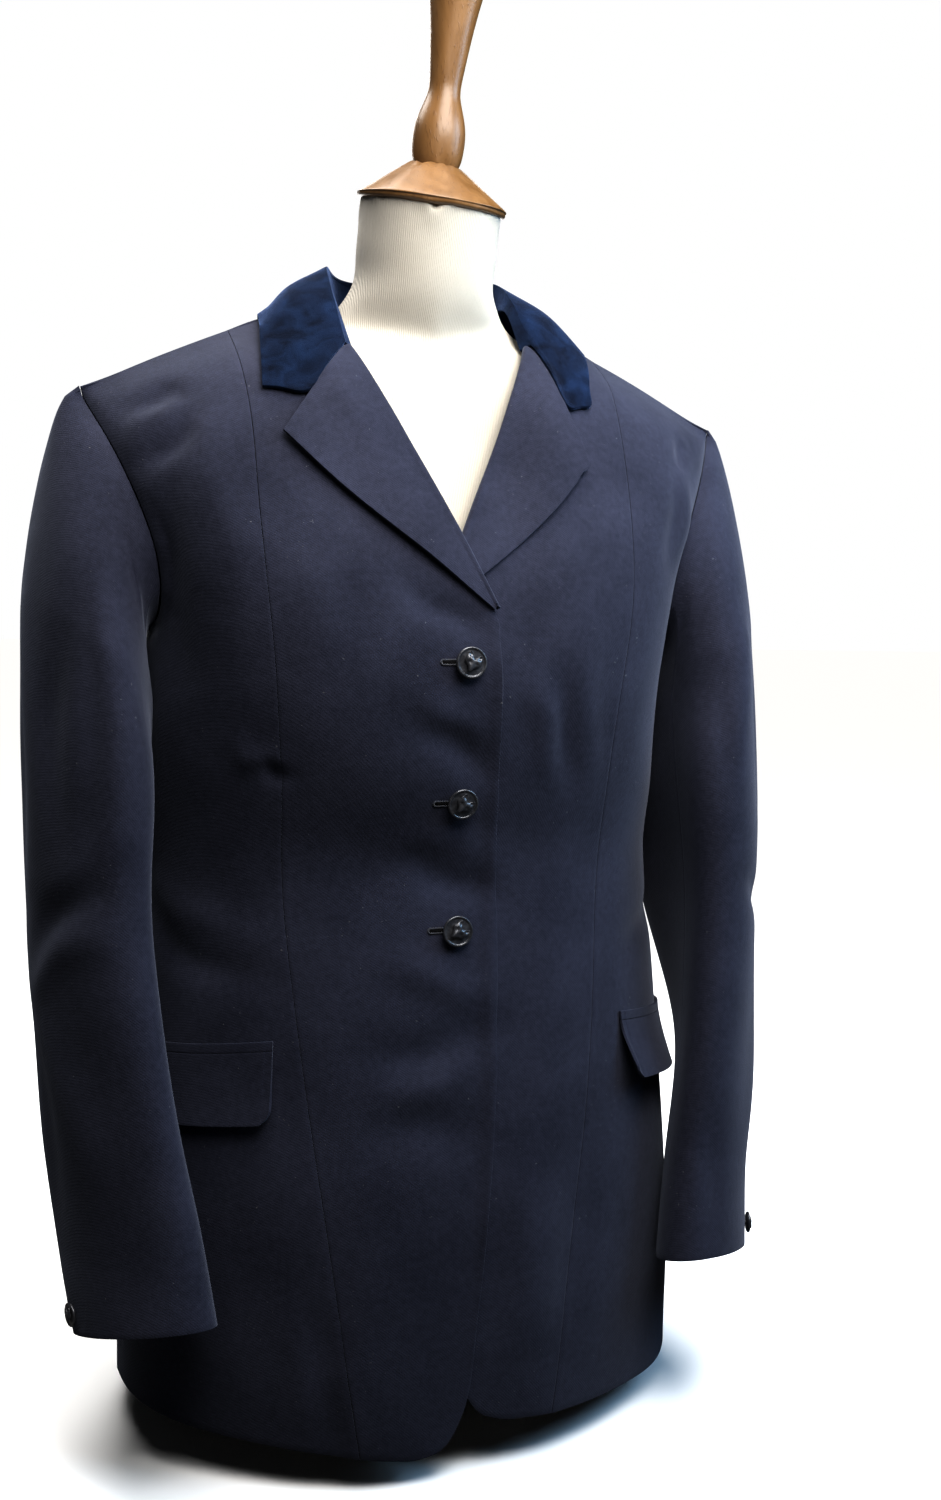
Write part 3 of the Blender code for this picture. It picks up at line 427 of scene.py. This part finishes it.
def smooth_through(piece, levels):
    """Subdivides a piece so that its smooth surface goes through its own points."""
    wanted = points_of(piece.data)
    held = wanted.copy()
    choose(piece)
    modifier = piece.modifiers.new("Smooth", "SUBSURF")
    modifier.levels = 1
    modifier.render_levels = 1
    modifier.boundary_smooth = "PRESERVE_CORNERS"
    for _ in range(FIT_ROUNDS):
        graph = bpy.context.evaluated_depsgraph_get()
        smooth = points_of(piece.evaluated_get(graph).data)[: len(wanted)]
        held += FIT_SHARE * (wanted - smooth)
        held = wanted + np.clip(held - wanted, -MOST_MOVED, MOST_MOVED)
        piece.data.vertices.foreach_set("co", held.ravel())
        piece.data.update()
        bpy.context.view_layer.update()
    modifier.levels = levels
    modifier.render_levels = levels
    bpy.ops.object.modifier_apply(modifier=modifier.name)


print("a skin is solidified by", CLOTH * 1000, "mm")

# %% [markdown]
# ## Creases, placed one by one
# The cloth is pulled a little from the buttons, breaks softly over the flat of the skirt and hangs in
# long shallow folds down the sleeves. Each crease is one row: the side it is seen from, a line across
# that side, its half width and its depth (a trough is negative). A point near the line moves along its
# own normal, by less at the ends of the line, and the line wavers so that none looks ruled. Near the
# armhole the creases fade out, as the sleeve and the body must stay together there. Four broad rows
# bring the arms and the body nearer to each other. The last rows are for the upper front alone: they
# dent it below the lapel and lift its free edge, so that it throws a fine shadow on the one below.

# %% Crease table
Crease = namedtuple("Crease", "on side u0 z0 u1 z1 width depth")
CREASES = [
    Crease("body", "front", -0.030, 0.490, 0.023, 0.464, 0.0112, -0.0044),
    Crease("body", "front", -0.040, 0.512, 0.016, 0.491, 0.0112, 0.0022),
    Crease("body", "front", -0.025, 0.404, 0.031, 0.374, 0.0112, -0.0046),
    Crease("body", "front", -0.046, 0.424, 0.026, 0.409, 0.0118, 0.0024),
    Crease("body", "front", -0.050, 0.335, 0.023, 0.319, 0.0110, 0.0031),
    Crease("body", "front", -0.062, 0.276, 0.026, 0.295, 0.0143, -0.0044),
    Crease("body", "front", -0.048, 0.258, 0.021, 0.270, 0.0132, 0.0027),
    Crease("body", "front", -0.070, 0.222, 0.013, 0.237, 0.0165, -0.0037),
    Crease("body", "front", -0.126, 0.465, -0.109, 0.462, 0.0060, -0.0041),
    Crease("body", "front", -0.140, 0.479, -0.116, 0.464, 0.0080, 0.0027),
    Crease("body", "front", -0.198, 0.694, -0.164, 0.702, 0.0080, -0.0038),
    Crease("body", "front", -0.164, 0.686, -0.192, 0.650, 0.0075, -0.0048),
    Crease("body", "front", -0.178, 0.694, -0.200, 0.668, 0.0080, 0.0024),
    Crease("body", "front", 0.196, 0.690, 0.176, 0.676, 0.0080, -0.0034),
    Crease("body", "front", 0.186, 0.664, 0.178, 0.610, 0.0085, 0.0026),
    Crease("body", "front", 0.172, 0.660, 0.165, 0.600, 0.0090, -0.0026),
    Crease("body", "front", -0.182, 0.640, -0.172, 0.520, 0.0100, -0.0038),
    Crease("body", "front", -0.152, 0.677, -0.147, 0.585, 0.0140, 0.0027),
    Crease("body", "right", -0.023, 0.356, -0.090, 0.324, 0.0100, -0.0038),
    Crease("body", "right", -0.030, 0.380, -0.096, 0.344, 0.0110, 0.0024),
    Crease("body", "right", 0.060, 0.405, 0.000, 0.380, 0.0130, -0.0032),
    Crease("body", "front", -0.086, 0.600, -0.105, 0.525, 0.0170, 0.0022),
    Crease("body", "front", 0.045, 0.520, 0.068, 0.460, 0.0110, 0.0030),
    Crease("body", "front", 0.060, 0.530, 0.082, 0.452, 0.0090, -0.0024),
    Crease("body", "front", 0.087, 0.555, 0.092, 0.450, 0.0120, 0.0027),
    Crease("body", "front", 0.047, 0.220, 0.036, 0.070, 0.0190, 0.0030),
    Crease("body", "front", 0.078, 0.210, 0.084, 0.050, 0.0170, -0.0024),
    Crease("body", "front", -0.074, 0.100, -0.072, 0.030, 0.0120, 0.0024),
    Crease("body", "front", -0.089, 0.105, -0.085, 0.030, 0.0110, -0.0027),
    Crease("body", "front", -0.103, 0.110, -0.097, 0.035, 0.0120, 0.0024),
    Crease("body", "left", -0.020, 0.360, -0.085, 0.330, 0.0110, -0.0035),
    Crease("body", "left", 0.050, 0.410, -0.010, 0.384, 0.0130, 0.0030),
    Crease("body", "back", -0.085, 0.440, -0.012, 0.418, 0.0180, -0.0034),
    Crease("body", "back", 0.014, 0.412, 0.092, 0.436, 0.0190, -0.0032),
    Crease("body", "back", -0.095, 0.470, -0.020, 0.452, 0.0140, 0.0027),
    Crease("body", "back", 0.020, 0.388, 0.098, 0.404, 0.0140, 0.0027),
    Crease("body", "back", -0.070, 0.330, -0.082, 0.060, 0.0220, 0.0035),
    Crease("body", "back", 0.058, 0.300, 0.074, 0.050, 0.0210, 0.0032),
    Crease("body", "back", -0.120, 0.640, -0.094, 0.520, 0.0160, -0.0032),
    Crease("body", "back", 0.122, 0.650, 0.100, 0.530, 0.0170, -0.0035),
    Crease("sleeve_right", "right", -0.062, 0.570, -0.074, 0.420, 0.0130, -0.0035),
    Crease("sleeve_right", "right", -0.020, 0.600, -0.052, 0.400, 0.0170, 0.0035),
    Crease("sleeve_right", "right", 0.014, 0.560, -0.030, 0.372, 0.0150, -0.0035),
    Crease("sleeve_right", "right", -0.100, 0.400, -0.060, 0.352, 0.0100, -0.0041),
    Crease("sleeve_right", "right", -0.104, 0.366, -0.050, 0.322, 0.0110, 0.0030),
    Crease("sleeve_right", "right", -0.066, 0.322, -0.105, 0.175, 0.0160, 0.0030),
    Crease("sleeve_right", "right", -0.040, 0.300, -0.078, 0.160, 0.0140, -0.0030),
    Crease("sleeve_right", "front", -0.214, 0.600, -0.212, 0.425, 0.0120, 0.0030),
    Crease("sleeve_right", "front", -0.232, 0.560, -0.228, 0.390, 0.0100, -0.0027),
    Crease("sleeve_right", "back", -0.235, 0.420, -0.205, 0.380, 0.0110, -0.0043),
    Crease("sleeve_right", "back", -0.238, 0.380, -0.208, 0.336, 0.0110, -0.0035),
    Crease("sleeve_left", "left", -0.058, 0.580, -0.070, 0.430, 0.0140, -0.0032),
    Crease("sleeve_left", "left", -0.016, 0.610, -0.048, 0.420, 0.0160, 0.0032),
    Crease("sleeve_left", "left", 0.018, 0.540, -0.024, 0.380, 0.0150, -0.0032),
    Crease("sleeve_left", "left", -0.096, 0.384, -0.054, 0.340, 0.0110, -0.0038),
    Crease("sleeve_left", "left", -0.060, 0.300, -0.100, 0.170, 0.0160, 0.0030),
    Crease("sleeve_left", "front", 0.227, 0.560, 0.217, 0.430, 0.0120, 0.0030),
    Crease("sleeve_left", "front", 0.212, 0.550, 0.206, 0.440, 0.0100, -0.0027),
    Crease("sleeve_left", "front", 0.190, 0.240, 0.184, 0.130, 0.0110, -0.0024),
    Crease("sleeve_left", "back", 0.236, 0.430, 0.204, 0.392, 0.0110, -0.0041),
    Crease("sleeve_left", "back", 0.238, 0.392, 0.206, 0.350, 0.0110, -0.0032),
    Crease("body", "right", -0.012, 0.560, -0.010, 0.390, 0.0340, 0.0085),
    Crease("sleeve_right", "left", -0.014, 0.560, -0.006, 0.380, 0.0340, 0.0085),
    Crease("body", "left", -0.004, 0.550, -0.002, 0.400, 0.0300, 0.0045),
    Crease("sleeve_left", "right", -0.006, 0.550, 0.004, 0.390, 0.0300, 0.0045),
    Crease("front_right", "front", -0.040, 0.585, 0.012, 0.548, 0.0100, -0.0042),
    Crease("front_right", "front", 0.018, 0.556, 0.023, 0.490, 0.0070, 0.0026),
    Crease("front_right", "front", 0.021, 0.560, 0.030, 0.370, 0.0065, 0.0022),
    Crease("front_right", "front", 0.029, 0.420, 0.022, 0.210, 0.0065, 0.0022),
    Crease("front_right", "front", 0.025, 0.270, 0.012, 0.080, 0.0065, 0.0022),
]
FACING = {"front": (0, -1, 0), "back": (0, 1, 0), "right": (-1, 0, 0), "left": (1, 0, 0)}
ACROSS = {"front": 0, "back": 0, "right": 1, "left": 1}
BODY_NODES = [name + side for side in ("_right", "_left") for name in ("front", "side_front", "back")]
SLEEVE_NODES = [name + side for side in ("_right", "_left") for name in ("top_sleeve", "under_sleeve")]
ARMHOLE_EASE = 0.012
ARMHOLE_STILL = 0.1
WAVER = 0.35
WAVER_RUN = 5.0
WAVER_STEP = 1.7
END_SHARE = 0.30
SEEN_FROM = 0.10
SEEN_OVER = 0.35
CLOUD_SIZE = 0.075
CLOUD_DEPTH = 0.0010


def normals_of(mesh):
    found = np.empty(len(mesh.vertices) * 3)
    mesh.vertices.foreach_get("normal", found)
    return found.reshape(-1, 3)


def surface_of(nodes):
    """The triangles of some CAD nodes, ready to be asked for the nearest place."""
    points, faces = [], []
    for node in nodes:
        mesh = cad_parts[node].data
        first = len(points)
        points.extend(v.co for v in mesh.vertices)
        faces.extend([first + v for v in face.vertices] for face in mesh.polygons)
    return BVHTree.FromPolygons(points, faces)


across_the_armhole = {"body": surface_of(SLEEVE_NODES), "sleeve": surface_of(BODY_NODES)}


def armhole_fade(points, on):
    """0 at the armhole seam and 1 away from it, so that both of its edges stay together."""
    other = across_the_armhole.get(on.split("_")[0])
    if not other:
        return np.ones(len(points))
    share = np.array([other.find_nearest(Vector(p))[3] for p in points]) / ARMHOLE_EASE
    share = np.clip(share - ARMHOLE_STILL, 0, 1)
    return share * share * (3 - 2 * share)


def crease_height(points, normals, on, node):
    """How far each point moves along its normal, by the rows of its part and of its own node."""
    height = np.array([CLOUD_DEPTH * noise.noise(Vector(p) / CLOUD_SIZE) for p in points])
    for number, row in enumerate(CREASES):
        if row.on not in (on, node):
            continue
        start = np.array([row.u0, row.z0])
        run = np.array([row.u1, row.z1]) - start
        flat = points[:, [ACROSS[row.side], 2]] - start
        share = np.clip(flat @ run / (run @ run), 0, 1)
        sideways = np.array([-run[1], run[0]]) / math.sqrt(run @ run)
        bend = WAVER * row.width * np.sin(share * WAVER_RUN + number * WAVER_STEP)
        away = np.linalg.norm(flat - share[:, None] * run - bend[:, None] * sideways, axis=1)
        ends = END_SHARE + (1 - END_SHARE) * np.sin(math.pi * share)
        seen = np.clip((normals @ np.array(FACING[row.side]) - SEEN_FROM) / SEEN_OVER, 0, 1)
        height += row.depth * ends * seen * np.exp(-((away / row.width) ** 2))
    return height * armhole_fade(points, on)


def crease(piece, on, node):
    """Moves the points of a skin by the creases of its part of the jacket."""
    points = points_of(piece.data)
    normals = normals_of(piece.data)
    moved = points + normals * crease_height(points, normals, on, node)[:, None]
    piece.data.vertices.foreach_set("co", moved.ravel())
    piece.data.update()


print("creases:", len(CREASES))

# %% [markdown]
# ## The cloth panels
# The jacket is cut in panels that meet at seams, so each panel is its own piece and keeps a rounded
# edge: side by side, two such edges make the fine dark line of a pressed seam. After the creases are in,
# Solidify gives the skin its thickness inwards and Bevel rounds the rim. The flat cut of a panel is the
# rectangle that its longest and its widest run fill.

# %% Panels
RIM_SHARE = 0.38
RIM_ANGLE = 55
PANEL_LEVELS = 3
WELT_LEVELS = 2
Panel = namedtuple("Panel", "node wall outward turn on levels length width held rests_on")


def round_the_body(place):
    return Vector((place.x, place.y, 0)).normalized()


def facing(x, y, z):
    direction = Vector((x, y, z))
    return lambda place: direction


def finish_cloth(piece, panel, finish):
    apply_modifier(piece, "SOLIDIFY", thickness=panel.wall, offset=-1.0)
    apply_modifier(piece, "BEVEL", width=panel.wall * RIM_SHARE, segments=2, limit_method="ANGLE",
                   angle_limit=math.radians(RIM_ANGLE))
    choose(piece)
    bpy.ops.object.shade_smooth()
    piece.data.materials.append(finish.material)
    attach(piece, "root")
    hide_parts(panel.node)


def make_cloth(panel, finish):
    piece = copy_of(panel.node, panel.node + "_cloth")
    keep_outer_side(piece, panel.outward, panel.turn)
    pair_triangles(piece)
    smooth_through(piece, panel.levels)
    crease(piece, panel.on, panel.node)
    finish_cloth(piece, panel, finish)
    return piece


SIDES = (("right", -1), ("left", 1))
BODY_CUT = {"front": (0.799, 0.144), "side_front": (0.772, 0.217), "back": (0.807, 0.282)}
SLEEVE_CUT = {"top_sleeve": (0.630, 0.270), "under_sleeve": (0.601, 0.206)}
OUT_OF_THE_ARM = {"top_sleeve": 1, "under_sleeve": -1}
cloths = {}
for side, sign in SIDES:
    panels = []
    for name, cut in BODY_CUT.items():
        panels.append(Panel(f"{name}_{side}", CLOTH, round_the_body, FLAT_TURN, "body", PANEL_LEVELS,
                            *cut, "hung", ["form_torso"]))
    for name, cut in SLEEVE_CUT.items():
        outward = facing(OUT_OF_THE_ARM[name] * sign, 0, 0)
        panels.append(Panel(f"{name}_{side}", CLOTH, outward, FLAT_TURN, f"sleeve_{side}", PANEL_LEVELS,
                            *cut, "hung", []))
    for panel in panels:
        cloths[panel.node] = make_cloth(panel, wool)

# %% [markdown]
# ## Lapels, collar, welts and flaps
# What is laid on a panel is made in the same way. The lapel is the top of the front, turned back along
# its roll; the collar is one velvet piece that stands at the neck, folds and falls on the shoulders; each
# pocket has a narrow welt with a flap sewn under it. All but the collar take the body's creases, as the
# panels below do, so they stay on them.

# %% Lapels, collar, welts and flaps
LAPEL_CUT = {"right": (0.204, 0.091), "left": (0.176, 0.107)}
WELT_CUT = (0.137, 0.006)
FLAP_CUT = {"right": (0.153, 0.052), "left": (0.160, 0.047)}
COLLAR_CUT = (0.478, 0.098)
for side, _ in SIDES:
    lapel = Panel(f"lapel_{side}", CLOTH, facing(0, -1, 0), ROLLED_TURN, "body", PANEL_LEVELS,
                  *LAPEL_CUT[side], "folded", [f"front_{side}_cloth"])
    welt = Panel(f"pocket_welt_{side}", CLOTH, round_the_body, FLAT_TURN, "body", WELT_LEVELS,
                 *WELT_CUT, None, [])
    flap = Panel(f"pocket_flap_{side}", CLOTH, round_the_body, FLAT_TURN, "body", PANEL_LEVELS,
                 *FLAP_CUT[side], "hung", [f"side_front_{side}_cloth"])
    cloths[lapel.node] = make_cloth(lapel, wool)
    cloths[welt.node] = make_cloth(welt, wool)
    cloths[flap.node] = make_cloth(flap, wool)
collar = Panel("collar", VELVET, facing(0, 0, 1), ROLLED_TURN, "collar", PANEL_LEVELS,
               *COLLAR_CUT, "folded", ["back_right_cloth", "back_left_cloth"])
cloths["collar"] = make_cloth(collar, velvet)

# %% [markdown]
# ## Buttons
# The buttons are glossy dark discs with a raised rim and a small fox mask in relief, the usual motif of
# hunting dress. The disc is turned: a profile is drawn once and spun round its axis. The mask is drawn as
# one half with a height at each point, mirrored, thickened and smoothed. Both are modelled once at a
# radius of 1 and copied to each button's place, which its solid gives: the axis is the way in which the
# solid is thinnest, away from the inside of the body or the cuff. Every mask is turned a little
# differently, as sewn buttons are.

# %% Model a button
BUTTON_PROFILE = [
    (0.00, 0.00), (0.26, 0.00), (0.26, 0.20), (0.76, 0.21), (0.95, 0.30), (1.00, 0.38), (0.99, 0.46),
    (0.94, 0.51), (0.87, 0.51), (0.82, 0.46), (0.76, 0.45), (0.40, 0.50), (0.00, 0.52),
]
MASK_POINTS = {
    "crown": (0.00, 0.32, 0.10), "ear_root": (0.15, 0.40, 0.12), "ear_tip": (0.43, 0.80, 0.16),
    "ear_back": (0.56, 0.36, 0.14), "temple": (0.62, 0.12, 0.08), "ruff": (0.62, -0.14, 0.03),
    "jaw": (0.28, -0.30, 0.10), "muzzle": (0.14, -0.56, 0.14), "chin": (0.00, -0.76, 0.10),
    "nose": (0.00, -0.54, 0.34), "bridge": (0.00, -0.15, 0.34), "brow": (0.00, 0.10, 0.26),
    "brow_side": (0.24, 0.18, 0.30), "eye": (0.23, -0.01, 0.00), "cheek": (0.41, -0.06, 0.20),
    "ear_hollow": (0.37, 0.46, -0.04),
}
MASK_FACES = [
    "brow brow_side ear_root crown", "brow_side ear_hollow ear_root", "ear_root ear_hollow ear_tip",
    "ear_hollow ear_back ear_tip", "brow_side ear_back ear_hollow", "brow_side temple ear_back",
    "brow_side cheek temple", "eye cheek brow_side", "bridge eye brow_side brow", "cheek ruff temple",
    "jaw ruff cheek", "bridge jaw cheek eye", "nose muzzle jaw bridge", "chin muzzle nose",
]
MASK_SCALE = 0.95
MASK_HEIGHT = 0.52
MASK_WALL = 0.14
DISC_SIDES = 48
DISC_EDGE = 0.02
DISC_EDGE_ANGLE = 35
DISC_SEAM = 0.0001


def new_piece(name, points, edges, faces):
    mesh = bpy.data.meshes.new(name)
    mesh.from_pydata(points, edges, faces)
    piece = bpy.data.objects.new(name, mesh)
    bpy.context.scene.collection.objects.link(piece)
    return piece


def spin_profile(name, profile, sides):
    """A turned piece: a profile of radius and height, spun round the z axis."""
    points = [(radius, 0, height) for radius, height in profile]
    piece = new_piece(name, points, [(i, i + 1) for i in range(len(points) - 1)], [])
    choose(piece)
    bpy.ops.object.mode_set(mode="EDIT")
    bpy.ops.mesh.select_all(action="SELECT")
    bpy.ops.mesh.spin(steps=sides, angle=2 * math.pi, center=(0, 0, 0), axis=(0, 0, 1))
    bpy.ops.mesh.select_all(action="SELECT")
    bpy.ops.mesh.remove_doubles(threshold=DISC_SEAM)
    bpy.ops.mesh.normals_make_consistent(inside=False)
    bpy.ops.object.mode_set(mode="OBJECT")
    return piece


def join(first, second):
    """Joins the second piece into the first."""
    choose(first)
    second.select_set(True)
    bpy.ops.object.join()


names = list(MASK_POINTS)
mask_points = [(x * MASK_SCALE, y * MASK_SCALE, z + MASK_HEIGHT) for x, y, z in MASK_POINTS.values()]
mask_faces = [[names.index(n) for n in face.split()] for face in MASK_FACES]
mask = new_piece("fox_mask", mask_points, [], mask_faces)
apply_modifier(mask, "MIRROR", use_clip=True, merge_threshold=0.001)
apply_modifier(mask, "SOLIDIFY", thickness=MASK_WALL, offset=-1.0)
apply_modifier(mask, "SUBSURF", levels=2, render_levels=2)
model_button = spin_profile("model_button", BUTTON_PROFILE, DISC_SIDES)
apply_modifier(model_button, "BEVEL", width=DISC_EDGE, segments=2, limit_method="ANGLE",
               angle_limit=math.radians(DISC_EDGE_ANGLE))
join(model_button, mask)
print("button model faces:", len(model_button.data.polygons))

# %% Place the buttons
Button = namedtuple("Button", "node inside radius turn")
FRONT_RADIUS = 0.01025
CUFF_RADIUS = 0.0075
SHARP_TURN = 40
BUTTONS = [
    Button("front_button_1", (0.0, 0.0), FRONT_RADIUS, -26),
    Button("front_button_2", (0.0, 0.0), FRONT_RADIUS, -44),
    Button("front_button_3", (0.0, 0.0), FRONT_RADIUS, -58),
    Button("cuff_button_right", (-0.198, -0.103), CUFF_RADIUS, 18),
    Button("cuff_button_left", (0.198, -0.103), CUFF_RADIUS, -12),
]


def button_place(button):
    """The matrix that puts a button of radius 1 on its solid: back on the cloth, mask upright and turned."""
    points = points_of(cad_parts[button.node].data)
    middle = points.mean(axis=0)
    spread = np.linalg.eigh(np.cov((points - middle).T))
    axis = Vector(spread[1][:, 0])
    if axis.dot(Vector((middle[0] - button.inside[0], middle[1] - button.inside[1], 0))) < 0:
        axis = -axis
    lowest = ((points - middle) @ np.array(axis)).min()
    up = (Vector((0, 0, 1)) - axis * axis.z).normalized()
    turned = Matrix.Rotation(math.radians(button.turn), 3, axis) @ up
    sideways = turned.cross(axis)
    basis = Matrix((sideways, turned, axis)).transposed().to_4x4()
    return Matrix.Translation(Vector(middle) + axis * lowest) @ basis @ Matrix.Scale(button.radius, 4)


for button in BUTTONS:
    piece = bpy.data.objects.new(button.node + "_relief", model_button.data.copy())
    bpy.context.scene.collection.objects.link(piece)
    piece.data.transform(button_place(button))
    choose(piece)
    bpy.ops.object.shade_smooth_by_angle(angle=math.radians(SHARP_TURN))
    piece.data.materials.clear()
    piece.data.materials.append(horn.material)
    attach(piece, "root")
    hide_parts(button.node)
bpy.data.objects.remove(model_button)
print("buttons placed:", len(BUTTONS))

# %% [markdown]
# ## Buttonholes
# Each front button comes through a worked hole, which shows beside it as a slot with a thick edge of
# silk. A circle is stretched into a long loop, made a tube, and each of its points is laid on the cloth
# by a ray from the front. A thin dark strip in the middle is painted shade: a near-black sheet laid on
# the cloth stands for the shadow inside the open slot.

# %% Work the buttonholes
HOLE_LENGTH = 0.0200
HOLE_START = 0.003
HOLE_HALF = 0.0016
HOLE_POINTS = 24
THREAD = 0.00062
THREAD_SUNK = 0.4
SLOT_HALF = 0.0010
SLOT_WALL = 0.0002
# The colours of the slot are painted shade: the dark inside the open slot is put in as colour.
SLOT_SHADE_DEEP = (0.0015, 0.0015, 0.002, 1)
SLOT_SHADE_PALE = (0.004, 0.004, 0.006, 1)
slot_shade_finish = Finish("painted_shade_in_slot", roughness=1.0)
slot_shade_finish.feed("Base Color", slot_shade_finish.mix(slot_shade_finish.speckle(900), SLOT_SHADE_DEEP, SLOT_SHADE_PALE))
cloth_tree = BVHTree.FromObject(cloths["front_right"], bpy.context.evaluated_depsgraph_get())


def stretched_circle(name, radius, fill):
    """A loop in the front plane: half of a circle pulled away to the wearer's right."""
    bpy.ops.object.select_all(action="DESELECT")
    bpy.ops.mesh.primitive_circle_add(vertices=HOLE_POINTS, radius=radius, fill_type=fill,
                                      rotation=(math.pi / 2, 0, 0))
    loop = bpy.context.object
    loop.name = name
    bpy.ops.object.transform_apply(location=False, rotation=True, scale=False)
    for vertex in loop.data.vertices:
        vertex.co.x += HOLE_START - (HOLE_LENGTH if vertex.co.x < 0 else 0.0)
    return loop


def lay_on_front(piece, centre, off):
    """Moves a flat piece to a height on the front and lays each of its points on the cloth."""
    for vertex in piece.data.vertices:
        x, z = vertex.co.x + centre.x, vertex.co.z + centre.z
        place = cloth_tree.ray_cast(Vector((x, -1, z)), Vector((0, 1, 0)))[0]
        vertex.co = Vector((x, place.y + vertex.co.y - off, z))


for number in (1, 2, 3):
    low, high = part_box(f"front_button_{number}")
    centre = (Vector(low) + Vector(high)) / 2
    hole = stretched_circle(f"buttonhole_{number}", HOLE_HALF, "NOTHING")
    choose(hole)
    bpy.ops.object.convert(target="CURVE")
    hole.data.bevel_depth = THREAD
    hole.data.bevel_resolution = 3
    bpy.ops.object.convert(target="MESH")
    lay_on_front(hole, centre, THREAD * THREAD_SUNK)
    hole.data.materials.append(thread.material)
    # A near-black sheet in the middle of the hole: painted shade for the open slot, not a real opening.
    slot_shade_sheet = stretched_circle("slot_shade_sheet", SLOT_HALF, "NGON")
    apply_modifier(slot_shade_sheet, "SOLIDIFY", thickness=SLOT_WALL, offset=0)
    lay_on_front(slot_shade_sheet, centre, SLOT_WALL)
    slot_shade_sheet.data.materials.append(slot_shade_finish.material)
    join(hole, slot_shade_sheet)
    choose(hole)
    bpy.ops.object.shade_smooth()
    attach(hole, "root")
    print(hole.name, "faces", len(hole.data.polygons))

# %% [markdown]
# ## The dress form
# The form is a smooth torso under stretched jersey. Its solid is already right, so a copy is only made
# smoother and levelled where it stands on the floor. The wooden cap and handle are turned on a lathe.
# Their solids have that round shape already, so copies of them are made smoother in the same way.

# %% Torso
FORM_LEVELS = 2
torso = copy_of("form_torso", "torso_cover")
pair_triangles(torso)
smooth_through(torso, FORM_LEVELS)
levelled = points_of(torso.data)
levelled[:, 2] = np.maximum(levelled[:, 2], 0.0)
torso.data.vertices.foreach_set("co", levelled.ravel())
choose(torso)
bpy.ops.object.shade_smooth()
torso.data.materials.append(jersey.material)
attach(torso, "root")
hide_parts("form_torso")
print("torso faces", len(torso.data.polygons))

# %% Neck cap and handle
for node in ("form_neck_cap", "form_handle"):
    turned = copy_of(node, node.replace("form_", "turned_"))
    pair_triangles(turned)
    smooth_through(turned, FORM_LEVELS)
    choose(turned)
    bpy.ops.object.shade_smooth()
    turned.data.materials.append(beech.material)
    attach(turned, "root")
    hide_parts(node)
    print(turned.name, len(turned.data.polygons))

# %% [markdown]
# ## The floor
# A plain pale floor carries the form. It is a large plane that looks pale to the camera but gives little
# light back to the object, as a floor would in the shade of a stand, so that the lower cloth stays deep.

# %% Floor
FLOOR_SIZE = 60
FLOOR_DROP = 0.0005
FLOOR_SEEN = (0.98, 0.98, 0.98, 1)
FLOOR_TO_THE_CLOTH = (0.08, 0.08, 0.08, 1)
bpy.ops.object.select_all(action="DESELECT")
bpy.ops.mesh.primitive_plane_add(size=FLOOR_SIZE, location=(0, 0, -FLOOR_DROP))
floor = bpy.context.object
floor.name = "floor"
floor_finish = Finish("pale_floor", roughness=0.9, specular_ior_level=0.0)
looked_at = floor_finish.node("LightPath", {}, {}, "Is Camera Ray")
floor_finish.feed("Base Color", floor_finish.mix(looked_at, FLOOR_TO_THE_CLOTH, FLOOR_SEEN))
floor.data.materials.append(floor_finish.material)
print("floor at", floor.location.z)
